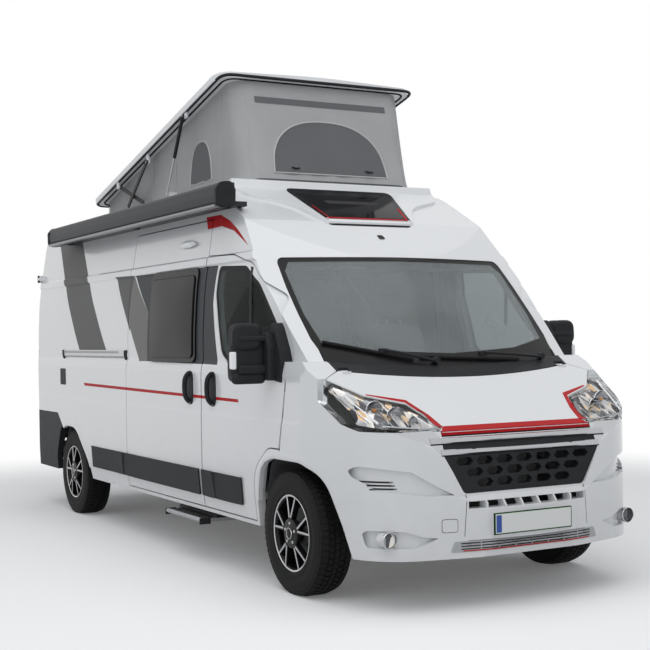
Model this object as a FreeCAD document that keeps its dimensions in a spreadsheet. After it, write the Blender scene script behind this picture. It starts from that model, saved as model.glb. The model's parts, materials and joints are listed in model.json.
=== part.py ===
"""Camper van: a long, high-roofed panel van with a raised pop-up roof, as an assembly of separate pieces.

Millimetres. +Z is up, the nose points to -Y, and the vehicle's right side is -X. The origin is on the
ground, midway along the body. Every driving size is in the sheet; outlines are tables of named sizes.
"""
import FreeCAD, Part
import Sketcher
import math
import os

from FreeCAD import Placement, Rotation, Vector

doc = FreeCAD.newDocument("camper_van")
sheet = doc.addObject("Spreadsheet::Sheet", "sizes")

# name, value, what it is
SIZES = [
    ("wheelbase", 4035, "front axle to rear axle"),
    ("front_overhang", 948, "nose to front axle"),
    ("rear_overhang", 1015, "rear axle to tail"),
    ("half_width", 1012, "body side from the middle plane"),
    ("sill_height", 345, "underside of the sills"),
    ("belt_height", 1330, "shelf under the side windows"),
    ("gutter_height", 2290, "seam between side panels and roof"),
    ("roof_height", 2500, "top of the sheet-metal roof"),
    ("wall", 55, "thickness of a whole wall or door"),
    ("pane", 8, "thickness of a window"),
    ("pane_step", 4, "how far a window lies under the sheet metal"),
    ("seam", 8, "gap round a door or lid"),
    ("trim_proud", 12, "how far mouldings, rail and camper windows stand out from the body"),
    ("seal", 0.3, "gap between pieces of one body that nearly touch"),
    ("screen_lean", 0.97, "windscreen run per unit of rise"),
    ("screen_foot", 2338, "windscreen's foot ahead of the origin, on the middle line"),
    ("screen_foot_height", 1290, "height of that foot"),
    ("screen_bow", 106, "how far the screen's sides lie behind its middle"),
    ("screen_half", 838, "windscreen from the middle plane to its side"),
    ("screen_top", 1962, "top of the windscreen"),
    ("bonnet_fall", 0.573, "bonnet drop per unit of run"),
    ("bonnet_front", 2876, "bonnet's front edge ahead of the origin"),
    ("bonnet_front_height", 956, "height of that edge"),
    ("bonnet_skin", 11, "bonnet's thickness ahead of its hinges"),
    ("bonnet_gap", 11, "gap round the bonnet that lets it swing"),
    ("mirror_reach", 1262, "mirror's outer side from the middle plane"),
    ("floor_height", 545, "top of the floor"),
    ("floor_thickness", 45, "floor with its insulation"),
    ("hub_height", 352, "wheel centre above the ground"),
    ("tyre_radius", 362, "tread from the hub"),
    ("tyre_width", 216, "across the tyre"),
    ("rim_radius", 221, "lip of the rim"),
    ("front_tyre_x", 885, "front tyre's middle from the middle plane"),
    ("rear_tyre_x", 870, "rear tyre's middle from the middle plane"),
    ("kingpin_x", 835, "steering axis from the middle plane"),
    ("stub_radius", 32, "wheel spindle"),
    ("fit_gap", 0.05, "running clearance of a spindle or hinge pin"),
    ("rear_door_half", 952, "rear door aperture from the middle plane"),
    ("rear_door_top", 2240, "top of the rear doors"),
    ("rear_door_foot", 560, "foot of the rear doors"),
    ("slide_door_front", -844, "seam between cab door and sliding door"),
    ("slide_door_rear", 578, "rear seam of the sliding door"),
    ("door_foot", 368, "foot of the side doors"),
    ("pop_hinge_y", 1900, "pop-up roof's hinge behind the origin"),
    ("pop_hinge_height", 2600, "height of that hinge"),
    ("pop_angle", 13.2, "raised angle of the pop-up roof"),
    ("pop_length", 2722, "pop-up roof from front to rear"),
    ("pop_tail", 37, "pop-up roof's rear edge behind its hinge"),
    ("pop_clearance", 25, "underside of the lid's rim above the hinge, when shut"),
    ("pop_half", 780, "pop-up roof from the middle plane to its edge"),
    ("pop_thickness", 42, "lid of the pop-up roof"),
    ("pop_crown", 48, "raised middle of the lid"),
    ("tent_half", 690, "tent wall from the middle plane"),
    ("tent_cloth", 6, "tent wall thickness"),
    ("base_half", 742, "moulded roof base from the middle plane"),
    ("base_top", 2525, "top of the moulded roof base"),
    ("hatch_half", 560, "roof opening from the middle plane"),
    ("hatch_front", 560, "roof opening's front edge ahead of the origin"),
    ("hatch_rear", 1300, "roof opening's rear edge behind the origin"),
    ("strut_radius", 13, "gas strut's cylinder"),
    ("strut_rod_radius", 6, "gas strut's rod"),
    ("arm_thickness", 10, "roof arm, across the vehicle"),
    ("arm_depth", 30, "roof arm, from edge to edge"),
]
for row, (name, value, meaning) in enumerate(SIZES, start=1):
    sheet.set("A%d" % row, name)
    sheet.set("B%d" % row, str(value))
    sheet.set("C%d" % row, meaning)
    sheet.setAlias("B%d" % row, name)
doc.recompute()


class Size:
    """A length that knows its number and the sheet expression it comes from."""

    def __init__(self, value, text):
        self.value = float(value)
        self.text = text

    def __add__(self, other):
        other = as_size(other)
        return Size(self.value + other.value, "(%s + %s)" % (self.text, other.text))

    def __sub__(self, other):
        other = as_size(other)
        return Size(self.value - other.value, "(%s - %s)" % (self.text, other.text))

    def __mul__(self, other):
        other = as_size(other)
        return Size(self.value * other.value, "(%s * %s)" % (self.text, other.text))

    def __truediv__(self, other):
        other = as_size(other)
        return Size(self.value / other.value, "(%s / %s)" % (self.text, other.text))

    def __radd__(self, other):
        return as_size(other) + self

    def __rsub__(self, other):
        return as_size(other) - self

    def __rmul__(self, other):
        return as_size(other) * self

    def __neg__(self):
        return Size(-self.value, "(0 - %s)" % self.text)


def as_size(number):
    if isinstance(number, Size):
        return number
    text = repr(float(number))
    return Size(number, text if number >= 0 else "(0 - %r)" % -float(number))


def root(size):
    return Size(math.sqrt(size.value), "sqrt(%s)" % size.text)


def cell(name):
    return Size(sheet.get(name), "sizes.%s" % name)


# ---- ways of making a piece -------------------------------------------------------------------------

PLANES = {"xy": "XY_Plane", "yz": "YZ_Plane", "xz": "XZ_Plane"}


def bind(obj, target, size):
    """Tie one property or constraint to the sheet."""
    obj.setExpression(target, as_size(size).text)


def place(obj, x=0, y=0, z=0):
    for axis, size in zip("xyz", (x, y, z)):
        bind(obj, "Placement.Base.%s" % axis, size)
    return obj


def block(name, x, y, z):
    """A box between pairs of sizes."""
    box = doc.addObject("Part::Box", name)
    for side, (low, high) in zip(("Length", "Width", "Height"), (x, y, z)):
        bind(box, side, as_size(high) - low)
    return place(box, x[0], y[0], z[0])


AXIS_TURN = {"x": Rotation(Vector(0, 1, 0), 90), "y": Rotation(Vector(1, 0, 0), -90), "z": Rotation()}


def rod(name, axis, start, length, radius):
    """A cylinder along an axis, from its start point."""
    cylinder = doc.addObject("Part::Cylinder", name)
    cylinder.Placement = Placement(Vector(), AXIS_TURN[axis])
    bind(cylinder, "Radius", radius)
    bind(cylinder, "Height", length)
    return place(cylinder, *start)


def fuse(name, *pieces):
    union = doc.addObject("Part::MultiFuse", name)
    union.Shapes = list(pieces)
    return union


def overlap(name, *pieces):
    shared = doc.addObject("Part::MultiCommon", name)
    shared.Shapes = list(pieces)
    return shared


def cut(name, base, *tools):
    for number, tool in enumerate(tools, start=1):
        last = number == len(tools)
        left = doc.addObject("Part::Cut", name if last else "%s_cut_%d" % (name, number))
        left.Base = base
        left.Tool = tool
        base = left
    return base


def mirrored(name, piece):
    """The same piece on the other side of the middle plane."""
    mirror = doc.addObject("Part::Mirroring", name)
    mirror.Source = piece
    mirror.Normal = Vector(1, 0, 0)
    return mirror


def both_sides(name, piece):
    return fuse(name, piece, mirrored(name + "_mirror", piece))


def corner_point(sketch, corner, u, v):
    """Hold a sketch point at sizes measured from the origin."""
    for kind, size in (("DistanceX", u), ("DistanceY", v)):
        size = as_size(size)
        index = sketch.addConstraint(Sketcher.Constraint(kind, -1, 1, corner[0], corner[1], size.value))
        bind(sketch, "Constraints[%d]" % index, size)


def outline(sketch, corners):
    """Close an outline of straight runs. A corner is (u, v), or (u, v, radius) to round it off."""
    places = [(as_size(c[0]), as_size(c[1]), as_size(c[2]) if len(c) > 2 else None) for c in corners]
    count = len(places)
    points = [Vector(u.value, v.value, 0) for u, v, radius in places]
    ends = []
    for i, (u, v, radius) in enumerate(places):
        here, back, ahead = points[i], points[i - 1] - points[i], points[(i + 1) % count] - points[i]
        if radius is None:
            ends.append((here, here, None))
            continue
        run = radius.value / math.tan(back.getAngle(ahead) / 2)
        arc_in = here + Vector(back).normalize() * run
        arc_out = here + Vector(ahead).normalize() * run
        towards = (Vector(back).normalize() + Vector(ahead).normalize()).normalize()
        centre = here + towards * (radius.value / math.sin(back.getAngle(ahead) / 2))
        ends.append((arc_in, arc_out, centre))
    lines = []
    for i in range(count):
        lines.append(sketch.addGeometry(Part.LineSegment(ends[i][1], ends[(i + 1) % count][0]), False))
    for i, (u, v, radius) in enumerate(places):
        arc_in, arc_out, centre = ends[i]
        before, after = lines[i - 1], lines[i]
        if radius is None:
            sketch.addConstraint(Sketcher.Constraint("Coincident", before, 2, after, 1))
            corner_point(sketch, (after, 1), u, v)
            continue
        left_turn = (points[i] - points[i - 1]).cross(points[(i + 1) % count] - points[i]).z > 0
        first, last = (arc_in, arc_out) if left_turn else (arc_out, arc_in)
        circle = Part.Circle(centre, Vector(0, 0, 1), radius.value)
        arc = sketch.addGeometry(Part.ArcOfCircle(circle, circle.parameter(first), circle.parameter(last)), False)
        into, out = (1, 2) if left_turn else (2, 1)
        sketch.addConstraint(Sketcher.Constraint("Tangent", before, 2, arc, into))
        sketch.addConstraint(Sketcher.Constraint("Tangent", arc, out, after, 1))
        index = sketch.addConstraint(Sketcher.Constraint("Radius", arc, radius.value))
        bind(sketch, "Constraints[%d]" % index, radius)
        corner = sketch.addGeometry(Part.Point(points[i]), True)
        sketch.addConstraint(Sketcher.Constraint("PointOnObject", corner, 1, before))
        sketch.addConstraint(Sketcher.Constraint("PointOnObject", corner, 1, after))
        corner_point(sketch, (corner, 1), u, v)


def new_sketch(body, name, plane, lift=0):
    """A sketch on one of the body's own planes, lifted along that plane's normal."""
    sketch = body.newObject("Sketcher::SketchObject", name)
    support = [face for face in body.Origin.OriginFeatures if face.Role == PLANES[plane]][0]
    sketch.AttachmentSupport = (support, [""])
    sketch.MapMode = "FlatFace"
    bind(sketch, "AttachmentOffset.Base.z", lift)
    return sketch


def prism(name, plane, corners, low, high):
    """A padded outline between two sizes along the plane's normal. xz outlines run along Y."""
    body = doc.addObject("PartDesign::Body", name)
    low, high = as_size(low), as_size(high)
    sketch = new_sketch(body, name + "_outline", plane, -high if plane == "xz" else low)
    outline(sketch, corners)
    pad = body.newObject("PartDesign::Pad", name + "_pad")
    pad.Profile = sketch
    bind(pad, "Length", high - low)
    return body


def turned(name, corners):
    """A ring turned about the body's own X axis. Corners are (x, radius)."""
    body = doc.addObject("PartDesign::Body", name)
    sketch = new_sketch(body, name + "_section", "xy")
    outline(sketch, corners)
    turn = body.newObject("PartDesign::Revolution", name + "_turn")
    turn.Profile = sketch
    turn.ReferenceAxis = (sketch, ["H_Axis"])
    turn.Angle = 360
    return body


def both_halves(corners):
    """Finish an outline given from the middle plane outwards, as (x, y) or (x, y, radius)."""
    other = [(-as_size(c[0]),) + tuple(c[1:]) for c in reversed(corners) if as_size(c[0]).value > 0]
    return list(corners) + other


# ---- where things lie -------------------------------------------------------------------------------

nose = -(cell("front_overhang") + cell("wheelbase") + cell("rear_overhang")) / 2
tail = -nose
front_axle = nose + cell("front_overhang")
rear_axle = front_axle + cell("wheelbase")
rear_face = tail - 14
half = cell("half_width")
sill = cell("sill_height")
belt = cell("belt_height")
gutter = cell("gutter_height")
wall = cell("wall")
seam = cell("seam")
seal = cell("seal")
hub = cell("hub_height")
beyond = half + 90
inner_side = half - wall
deck = cell("floor_height")
screen_foot = -cell("screen_foot")
bonnet_front = -cell("bonnet_front")
bonnet_edge = cell("bonnet_front_height")


# ---- the body's outer form, and the same form moved inwards -----------------------------------------

def lower_form(name, inset):
    """The body below the belt, with the nose and the falling bonnet."""
    fall = cell("bonnet_fall")
    lift = inset * 1.15
    open_foot = inset * 6
    top = belt - inset
    section = prism(name + "_section", "xz", both_halves([
        (0, sill - 65 - open_foot),
        (half - 27 - inset, sill - 65 - open_foot),
        (half - inset, 600, 2500),
        (half - inset, 975),
        (half - 3 - inset, 1000),
        (half - 3 - inset, belt - 80 - inset),
        (half - 10 - inset, belt - 40 - inset),
        (half - 22 - inset, top),
        (0, top),
    ]), nose - 100, tail + 100)
    plan = prism(name + "_plan", "xy", both_halves([
        (0, rear_face - inset),
        (half - inset, rear_face - inset, 120 - inset),
        (half - inset, nose + 750, 800),
        (half - 132 - inset, nose + 156 + inset, 370 - inset),
        (0, nose - 53 + inset, 2000),
    ]), -200, 1500)
    side = prism(name + "_side", "yz", [
        (nose + 30 + inset, sill - 60 - open_foot),
        (nose + inset, sill + 45),
        (nose + inset, sill + 195),
        (nose + 55 + inset, sill + 265),
        (nose + 64 + inset, sill + 465),
        (bonnet_front + inset, bonnet_edge + inset * fall - lift),
        (bonnet_front + (top - bonnet_edge + lift) / fall, top),
        (rear_face - inset, top),
        (rear_face - inset, sill - open_foot),
        (nose + 600, sill - open_foot),
        (nose + 560, sill - 60 - open_foot),
    ], -beyond, beyond)
    return overlap(name, section, plan, side)


def upper_form(name, inset):
    """The cab and load space above the belt, behind a leaning, bowed windscreen."""
    lean = cell("screen_lean")
    slant = root(1 + lean * lean)
    top = cell("roof_height") - inset
    section = prism(name + "_section", "xz", both_halves([
        (0, 620),
        (half - 22 - inset, 620),
        (half - 22 - inset, 1500, 3000),
        (half - 44 - inset, 1820, 1500),
        (half - 66 - inset, 1937),
        (half - 54 - inset, 1952),
        (half - 62 - inset, 1996),
        (half - 76 - inset, 2008),
        (half - 154 - inset, top - 10, 130 - inset / 2),
        (0, top),
    ]), nose - 100, tail + 100)
    plan = prism(name + "_plan", "xy", both_halves([
        (0, rear_face - inset),
        (half - inset, rear_face - inset, 120 - inset),
        (half - 14 - inset, front_axle + 1050),
        (half - 72 - inset, front_axle + 50),
        (half - 112 - inset, nose + 550),
        (0, nose + 400),
    ]), 600, 2600)
    side = prism(name + "_side", "yz", [
        (rear_face - inset, 600),
        (rear_face - inset, 2300),
        (tail - 74 - inset, top, 60),
        (front_axle + 1350, top),
        (front_axle + 1149, top - 45),
        (front_axle + 731, top - 285),
        (front_axle + 361, top - 543),
        (front_axle - 750, top - 1334),
        (front_axle - 750, 600),
    ], -beyond, beyond)
    bow = cell("screen_bow") / slant
    bow_radius = cell("screen_half") * cell("screen_half") / (2 * bow)
    edge = beyond - 20
    slope = edge / bow_radius
    screen = prism(name + "_screen", "xy", both_halves([
        (0, inset - slope * edge / 2, bow_radius),
        (beyond, inset - slope * edge / 2 + slope * beyond),
        (beyond, 5300),
        (0, 5300),
    ]), -1600, 5200)
    screen.Placement = Placement(Vector(), Rotation(Vector(-1, 0, 0), 45))
    bind(screen, "Placement.Rotation.Angle", Size(math.degrees(math.atan(lean.value)), "atan(%s)" % lean.text))
    place(screen, 0, screen_foot, cell("screen_foot_height"))
    return overlap(name, section, plan, side, screen)


def body_form(name, inset):
    inset = as_size(inset)
    return fuse(name, lower_form(name + "_lower", inset), upper_form(name + "_upper", inset))


outer = body_form("outer_form", 0)
walls = cut("walls", outer, body_form("inner_form", wall))
panes = cut("panes", body_form("pane_front", cell("pane_step")),
            body_form("pane_back", cell("pane_step") + cell("pane")))
proud = body_form("proud_form", -cell("trim_proud"))
proud_skin = cut("proud_skin", proud, outer)
proud_panes = cut("proud_panes", proud, body_form("proud_pane_back", 12))


# ---- seams: the outlines that part one panel from the next -------------------------------------------

nodes = {}


def keep(piece, name):
    """Hand a finished piece in under its node's name."""
    piece.Label = name
    nodes[name] = piece


def right_half(name, corners):
    """A side-view outline through the right-hand wall."""
    return prism(name, "yz", corners, -beyond, -cell("screen_half") + 40)


def front_arch(grow):
    """The front wheel's opening in side view."""
    return [
        (front_axle + 395 + grow, 150),
        (front_axle + 395 + grow, hub + 190),
        (front_axle + 345 + grow, hub + 375 + grow / 2, 60),
        (front_axle + 190, hub + 432 + grow, 120),
        (front_axle - 170, hub + 432 + grow, 120),
        (front_axle - 380 - grow, hub + 350 + grow / 2, 150),
        (front_axle - 520 - grow, hub + 90, 200),
        (front_axle - 645 - grow, 150),
    ]


def rear_arch(grow):
    """The rear wheel's opening in side view."""
    return [
        (rear_axle + 400 + grow, 150),
        (rear_axle + 400 + grow, hub + 100, 150),
        (rear_axle + 215 + grow, hub + 407 + grow, 170),
        (rear_axle - 190 - grow, hub + 407 + grow, 190),
        (rear_axle - 480 - grow, hub + 130, 200),
        (rear_axle - 640 - grow, 150),
    ]


arches = fuse("arch_openings",
              prism("front_arch_right", "yz", front_arch(0), -beyond, -560),
              prism("front_arch_left", "yz", front_arch(0), 560, beyond),
              prism("rear_arch_right", "yz", rear_arch(0), -beyond, -690),
              prism("rear_arch_left", "yz", rear_arch(0), 690, beyond))

shell = cut("shell", walls, arches)

door_foot = cell("door_foot")
door_front = front_axle + 3
slide_front = cell("slide_door_front")
slide_rear = cell("slide_door_rear")


def cab_door_outline(grow):
    """Front door in side view: over the arch, up the windscreen pillar and along the roof."""
    return [
        (slide_front + grow, door_foot - grow),
        (slide_front + grow, 2014 + grow),
        (slide_front - 420, 1998 + grow),
        (slide_front - 700, 1925 + grow, 200),
        (slide_front - 975 - grow, 1716 + grow, 300),
        (slide_front - 1165 - grow, belt + 120, 150),
        (door_front - grow, 1207),
        (door_front + 44 - grow, 1004),
        (door_front + 86 - grow, hub + 470 - grow),
        (door_front + 230, hub + 470 - grow, 150),
        (front_axle + 425 - grow, hub + 330, 200),
        (front_axle + 425 - grow, door_foot - grow),
    ]


def slide_door_outline(grow):
    return [
        (slide_front - grow, door_foot - grow),
        (slide_rear + grow, door_foot - grow),
        (slide_rear + grow, gutter - 35 + grow),
        (slide_front - grow, gutter - 35 + grow),
    ]


def leaf_outline(grow, middle):
    """Right-hand rear leaf from behind; it narrows with the body's sides."""
    reach = cell("rear_door_half") + grow
    foot = cell("rear_door_foot") - grow
    top = cell("rear_door_top") + grow
    return [(-reach, foot), (middle, foot), (middle, top), (-reach + 75, top, 50), (-reach, 1500)]


def bonnet_outline(grow):
    """Bonnet in plan: round the cowl, over the wings and along the lamps to the nose."""
    return both_halves([
        (0, front_axle - 443 + grow, 3700),
        (815, front_axle - 265 + grow),
        (928 + grow, front_axle - 334),
        (784 + grow, front_axle - 490 - grow),
        (568 + grow, front_axle - 575 - grow),
        (512 + grow, front_axle - 701 - grow, 60),
        (500 + grow, bonnet_front - grow),
        (0, bonnet_front - grow),
    ])


def bonnet_band(depth):
    """Side-view band just under the bonnet's top, deep enough for its wall."""
    fall = cell("bonnet_fall")
    run = 750
    low = bonnet_edge - depth
    return [
        (bonnet_front - 60, low - 60 * fall),
        (bonnet_front - 60, bonnet_edge + 300),
        (bonnet_front + run, bonnet_edge + run * fall + 100),
        (bonnet_front + run, low + run * fall),
    ]


def bonnet_block(name, grow):
    return overlap(name, prism(name + "_plan", "xy", bonnet_outline(grow), 700, 1500),
                   prism(name + "_band", "yz", bonnet_band(wall * 1.4 + grow), -beyond, beyond))


def lamp_block(name, grow):
    """Headlamp on the right: outside the bonnet's edge, above the bumper."""
    plan = prism(name + "_plan", "xy", [
        (-940, front_axle - 331 + grow),
        (-784 + grow, front_axle - 490 + grow),
        (-568 + grow, front_axle - 575 + grow),
        (-512 + grow, front_axle - 701 + grow),
        (-465 + grow, front_axle - 760),
        (-465 + grow, nose - 60),
        (-beyond, nose - 60),
        (-beyond, front_axle - 331 + grow),
    ], 900, 1300)
    side = prism(name + "_side", "yz", [
        (nose - 60, 957 - grow),
        (front_axle - 640, 965 - grow),
        (front_axle - 510, 1000 - grow),
        (front_axle - 331 + grow, 1120 - grow),
        (front_axle - 331 + grow, 1300),
        (nose - 60, 1300),
    ], -beyond, -400)
    return overlap(name, plan, side)


def screen_outline(grow):
    return both_halves([
        (0, 1286 - grow, 3000),
        (815 + grow, 1320 - grow, 40),
        (850 + grow, 1458),
        (853 + grow, 1610),
        (848 + grow, 1772),
        (828 + grow, cell("screen_top") - 5 + grow, 50),
        (0, cell("screen_top") + 4 + grow, 9000),
    ])


def grille_band(low, high, reach):
    return block("band_%d" % low, (-reach, reach), (nose - 60, nose + 250), (low, high))


# ---- body panels ------------------------------------------------------------------------------------

def glass(name, window):
    """A pane in its window, set just under the sheet metal."""
    return overlap(name, panes, window)


cab_window = [
    (slide_front - 190, 1935, 40),
    (slide_front - 600, 1915, 150),
    (slide_front - 800, 1800, 200),
    (slide_front - 1050, belt + 160),
    (slide_front - 1085, belt + 40, 40),
    (slide_front - 440, belt - 50, 80),
    (slide_front - 290, belt + 40, 100),
    (slide_front - 180, 1750, 100),
]


def window_in_side(name, front, rear, low, high, grow=0):
    return right_half(name, [
        (front - grow, low - grow, 55),
        (rear + grow, low - grow, 55),
        (rear + grow, high + grow, 55),
        (front - grow, high + grow, 55),
    ])


def camper_window(name, front, rear, low, high):
    """A framed window that fills its opening and laps over the sheet metal round it."""
    plug = overlap(name + "_plug", proud_panes, window_in_side(name + "_hole", front, rear, low, high, -seal))
    return fuse(name, plug, overlap(name + "_lap", proud_skin,
                                    window_in_side(name + "_edge", front - 15, rear + 15, low - 12, high + 3)))


def moulding(name, corners):
    """A raised strip on the right-hand side, in side view."""
    return overlap(name, proud_panes, right_half(name + "_outline", corners))


cab_door_hole = right_half("cab_door_hole", cab_door_outline(0))
slide_door_hole = right_half("slide_door_hole", slide_door_outline(0))
cab_window_hole = right_half("cab_window_hole", cab_window)
slide_window_hole = window_in_side("slide_window_hole", slide_front + 130, slide_rear - 478, 1325, 1938)
rear_doors_hole = both_sides("rear_doors_hole", prism("rear_leaf_hole", "xz", leaf_outline(0, 0),
                                                      rear_face - wall - seal, tail + 100))
bonnet_hole = bonnet_block("bonnet_hole", cell("bonnet_gap"))
lamp_right_hole = lamp_block("lamp_right_hole", seal)
lamp_holes = both_sides("lamp_holes", lamp_right_hole)
screen_hole = prism("screen_hole", "xz", screen_outline(0), nose + 300, front_axle + 700)

# The bumper takes the nose below the lamps; the wings take what is left ahead of the doors.
bumper_side = [
    (nose - 60, 200),
    (front_axle - 329, 200),
    (front_axle - 329, 690),
    (front_axle - 361, 722),
    (front_axle - 427, 759),
    (front_axle - 590, 826),
    (front_axle - 640, 900),
    (front_axle - 700, 957),
    (nose - 60, 957),
]
wing_side = [
    (front_axle - 361, 722 + seal),
    (front_axle - 427, 759 + seal),
    (front_axle - 590 + seal, 826 + seal),
    (front_axle - 640 + seal, 900),
    (front_axle - 700 + seal, 957 + seal),
    (nose + 150, 957 + seal),
    (nose + 150, 1500),
    (front_axle - 215, 1345),
    (door_front - seam, 1235),
    (door_front - seam, 1207),
    (door_front + 44 - seam, 1004),
    (door_front + 86 - seam, hub + 470 - seam),
    (door_front + 86 - seam, 700),
    (front_axle - 329 + seal, 690),
]

def grille_outline(grow):
    """Grille from the front: wide under the bonnet, narrower at its foot."""
    return both_halves([
        (0, 624 - grow),
        (410 + grow, 624 - grow, 40),
        (530 + grow, 835),
        (545 + grow, 893),
        (0, 893),
    ])


def front_prism(name, corners):
    """A front-view outline through the nose."""
    return prism(name, "xz", corners, nose - 60, nose + 420)


def front_pocket(name, corners):
    """A shallow recess in the bumper's right-hand half, in front view."""
    return cut(name, front_prism(name + "_outline", corners), pocket_back)


def hexagon(name, x, z):
    """One long opening of the grille."""
    reach, tip, rise = 56, 21, 22
    return prism(name, "xz", [(x - reach, z), (x - reach + tip, z - rise), (x + reach - tip, z - rise), (x + reach, z),
                              (x + reach - tip, z + rise), (x - reach + tip, z + rise)], nose + 40, nose + 320)


pocket_back = body_form("pocket_back", 26)
grille_hole = front_prism("grille_hole", grille_outline(0))
under_lamp = front_prism("under_lamp", [
    (-545, 833),
    (-583, 880),
    (-710, 931),
    (-868, 986),
    (-840, 1010),
    (-600, 1000),
    (-520, 925),
    (-520, 833),
])
bar_bands = fuse("bar_bands", grille_band(833, 861, 545), grille_band(897, 925, 600), both_sides("lamp_bars", under_lamp))
pockets = fuse("bumper_pockets",
               front_pocket("vent_pocket", [(-940, 786, 30), (-700, 752, 30), (-600, 690), (-470, 622), (-620, 622),
                                            (-850, 655, 40), (-925, 720, 40)]),
               front_pocket("fog_pocket", [(-905, 446, 25), (-740, 442, 30), (-640, 408), (-560, 398), (-680, 350),
                                           (-890, 352, 25)]))
fog_pit = rod("fog_pit", "y", (-820, nose + 60, 400), 300, 44)
vents = [block("vent_%d" % number, (-893 + number * 8, -770 + number * 8), (nose, nose + 420),
               (693 - 18 * number, 703 - 18 * number)) for number in range(3)]
side_cuts = both_sides("bumper_side_cuts", fuse("bumper_side_cut", pockets, fog_pit, *vents))
slot_pitch = 114
air_slots = [block("air_slot_%d" % number, (slot_pitch * number - 51, slot_pitch * number + 51),
                   (nose - 60, nose + 250), (546, 584)) for number in range(-3, 4)]
slats = [block("lower_slot_%d" % number, (-400, 400), (nose - 60, nose + 250), (low, low + 10))
         for number, low in enumerate((332, 350, 368), start=1)]
fog_lamp = rod("fog_lamp", "y", (-820, nose + 165, 400), 60, 40)
bumper_zone = prism("bumper_zone", "yz", bumper_side, -beyond, beyond)
bumper_panel = cut("front_bumper_panel", overlap("bumper_wall", shell, bumper_zone), grille_hole, bar_bands,
                   lamp_holes, bonnet_hole, side_cuts, *(air_slots + slats))
fog_web = overlap("fog_web", cut("fog_web_wall", pocket_back, body_form("fog_web_back", 60)),
                  rod("fog_web_rod", "y", (-820, nose + 60, 400), 300, 52))
plate_holder = cut("plate_holder", block("plate_holder_block", (-262, 262), (nose, nose + 60), (398, 516)), outer)
keep(fuse("front_bumper_whole", bumper_panel, both_sides("fog_lamps", fuse("fog_lamp_seated", fog_lamp, fog_web)),
          plate_holder), "front_bumper")
keep(cut("bars_fitted", overlap("bars", shell, bar_bands), bonnet_hole, lamp_holes), "chrome_bars")
grille_back = overlap("grille_back", front_prism("grille_fitted", grille_outline(-seal)),
                      block("grille_depth", (-beyond, beyond), (nose + 70, nose + 300), (600, 893 - seal)))
hexes = []
for row, (z, places) in enumerate(((796, (0, 132, 264, 396)), (736, (66, 198, 330)), (676, (0, 132, 264)))):
    for x in places:
        hexes.append(hexagon("hex_%d_%d" % (row, x), x, z))
        if x:
            hexes.append(hexagon("hex_%d_%d_other" % (row, x), -x, z))
keep(cut("grille_panel", overlap("grille_wall", shell, grille_back), bar_bands, bonnet_hole, *hexes), "grille")
keep(cut("lamp_lenses", overlap("lamp_walls", shell, both_sides("lamps", lamp_block("lamp_right", 0))),
         bonnet_hole), "headlamps")

scuttle_hole = prism("scuttle_hole", "xy", both_halves([
    (0, front_axle - 500),
    (819, front_axle - 330),
    (829, front_axle - 190),
    (829, front_axle - 100),
    (0, front_axle - 100),
]), 1100, 1500)
wing_zone = fuse("wing_zone", prism("wing_zone_right", "yz", wing_side, -beyond, -780),
                 prism("wing_zone_left", "yz", wing_side, 780, beyond))
keep(cut("wing_panels", overlap("wing_walls", shell, wing_zone), bonnet_hole, lamp_holes, screen_hole, scuttle_hole,
         bar_bands), "front_wings")

# The bonnet is thin where it swings past the lamps, and full depth at its hinges.
bonnet_hollow = overlap("bonnet_hollow", body_form("bonnet_back", cell("bonnet_skin")),
                        block("bonnet_thin_zone", (-beyond, beyond), (nose, front_axle - 300), (700, 1500)))
keep(cut("bonnet_panel", overlap("bonnet_wall", shell, bonnet_block("bonnet_lid", 0)), bonnet_hollow), "bonnet")

scuttle_zone = prism("scuttle_zone", "xy", both_halves([
    (0, front_axle - 443 + seam, 3700),
    (818, front_axle - 265 + seam),
    (828, front_axle - 190),
    (828, front_axle - 100),
    (0, front_axle - 215, 3000),
]), 1150, 1400)
keep(cut("scuttle_panel", overlap("scuttle_wall", shell, scuttle_zone), screen_hole), "scuttle")
keep(glass("windscreen_glass", prism("screen_pane", "xz", screen_outline(-seal), nose + 300, front_axle + 700)),
     "windscreen")

# Sides: all of the wall outboard of the roof seam, less doors, wings, bumper corners and lamps.
side_zone = block("side_zone", (-beyond, -cell("screen_half") + 3), (front_axle - 330, tail), (250, gutter))
belt_nose = prism("belt_nose", "yz", [
    (front_axle - 400, 200),
    (door_front + 90, 200),
    (door_front + 90, 1100),
    (door_front - seam, 1235 + seal),
    (front_axle - 215, 1345 + seal),
    (front_axle - 400, 1420),
], -beyond, beyond)
rear_corner_side = [
    (rear_axle + 190, 200),
    (rear_axle + 190, 738),
    (rear_axle + 325, 845),
    (tail + 20, 845),
    (tail + 20, 200),
]
bumper_corner = prism("bumper_corner", "yz", rear_corner_side, -beyond, beyond)
tail_lamp_zone = block("tail_lamp_zone", (-beyond, -cell("rear_door_half") - 6), (rear_face - 70, tail),
                       (930, 1390))
right_walls = overlap("right_walls", shell, side_zone)
solid_side = cut("solid_side", right_walls, rear_doors_hole, screen_hole, belt_nose, bumper_corner,
                 scuttle_hole, tail_lamp_zone)
door_holes = (cab_door_hole, slide_door_hole)
keep(cut("right_side_panel", solid_side, *door_holes), "side_right")
left_window_holes = [
    window_in_side("left_front_window", slide_front + 130, slide_rear - 478, 1325, 1938),
    window_in_side("left_rear_window", rear_axle - 250, rear_axle + 450, 1425, 1938),
]
left_cut = cut("left_side_plain", solid_side, cab_door_hole, *left_window_holes)
keep(mirrored("left_side_panel", left_cut), "side_left")
left_panes = fuse("left_panes",
                  camper_window("left_front_pane", slide_front + 130, slide_rear - 478, 1325, 1938),
                  camper_window("left_rear_pane", rear_axle - 250, rear_axle + 450, 1425, 1938))
keep(mirrored("left_glass", left_panes), "side_windows_left")

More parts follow.
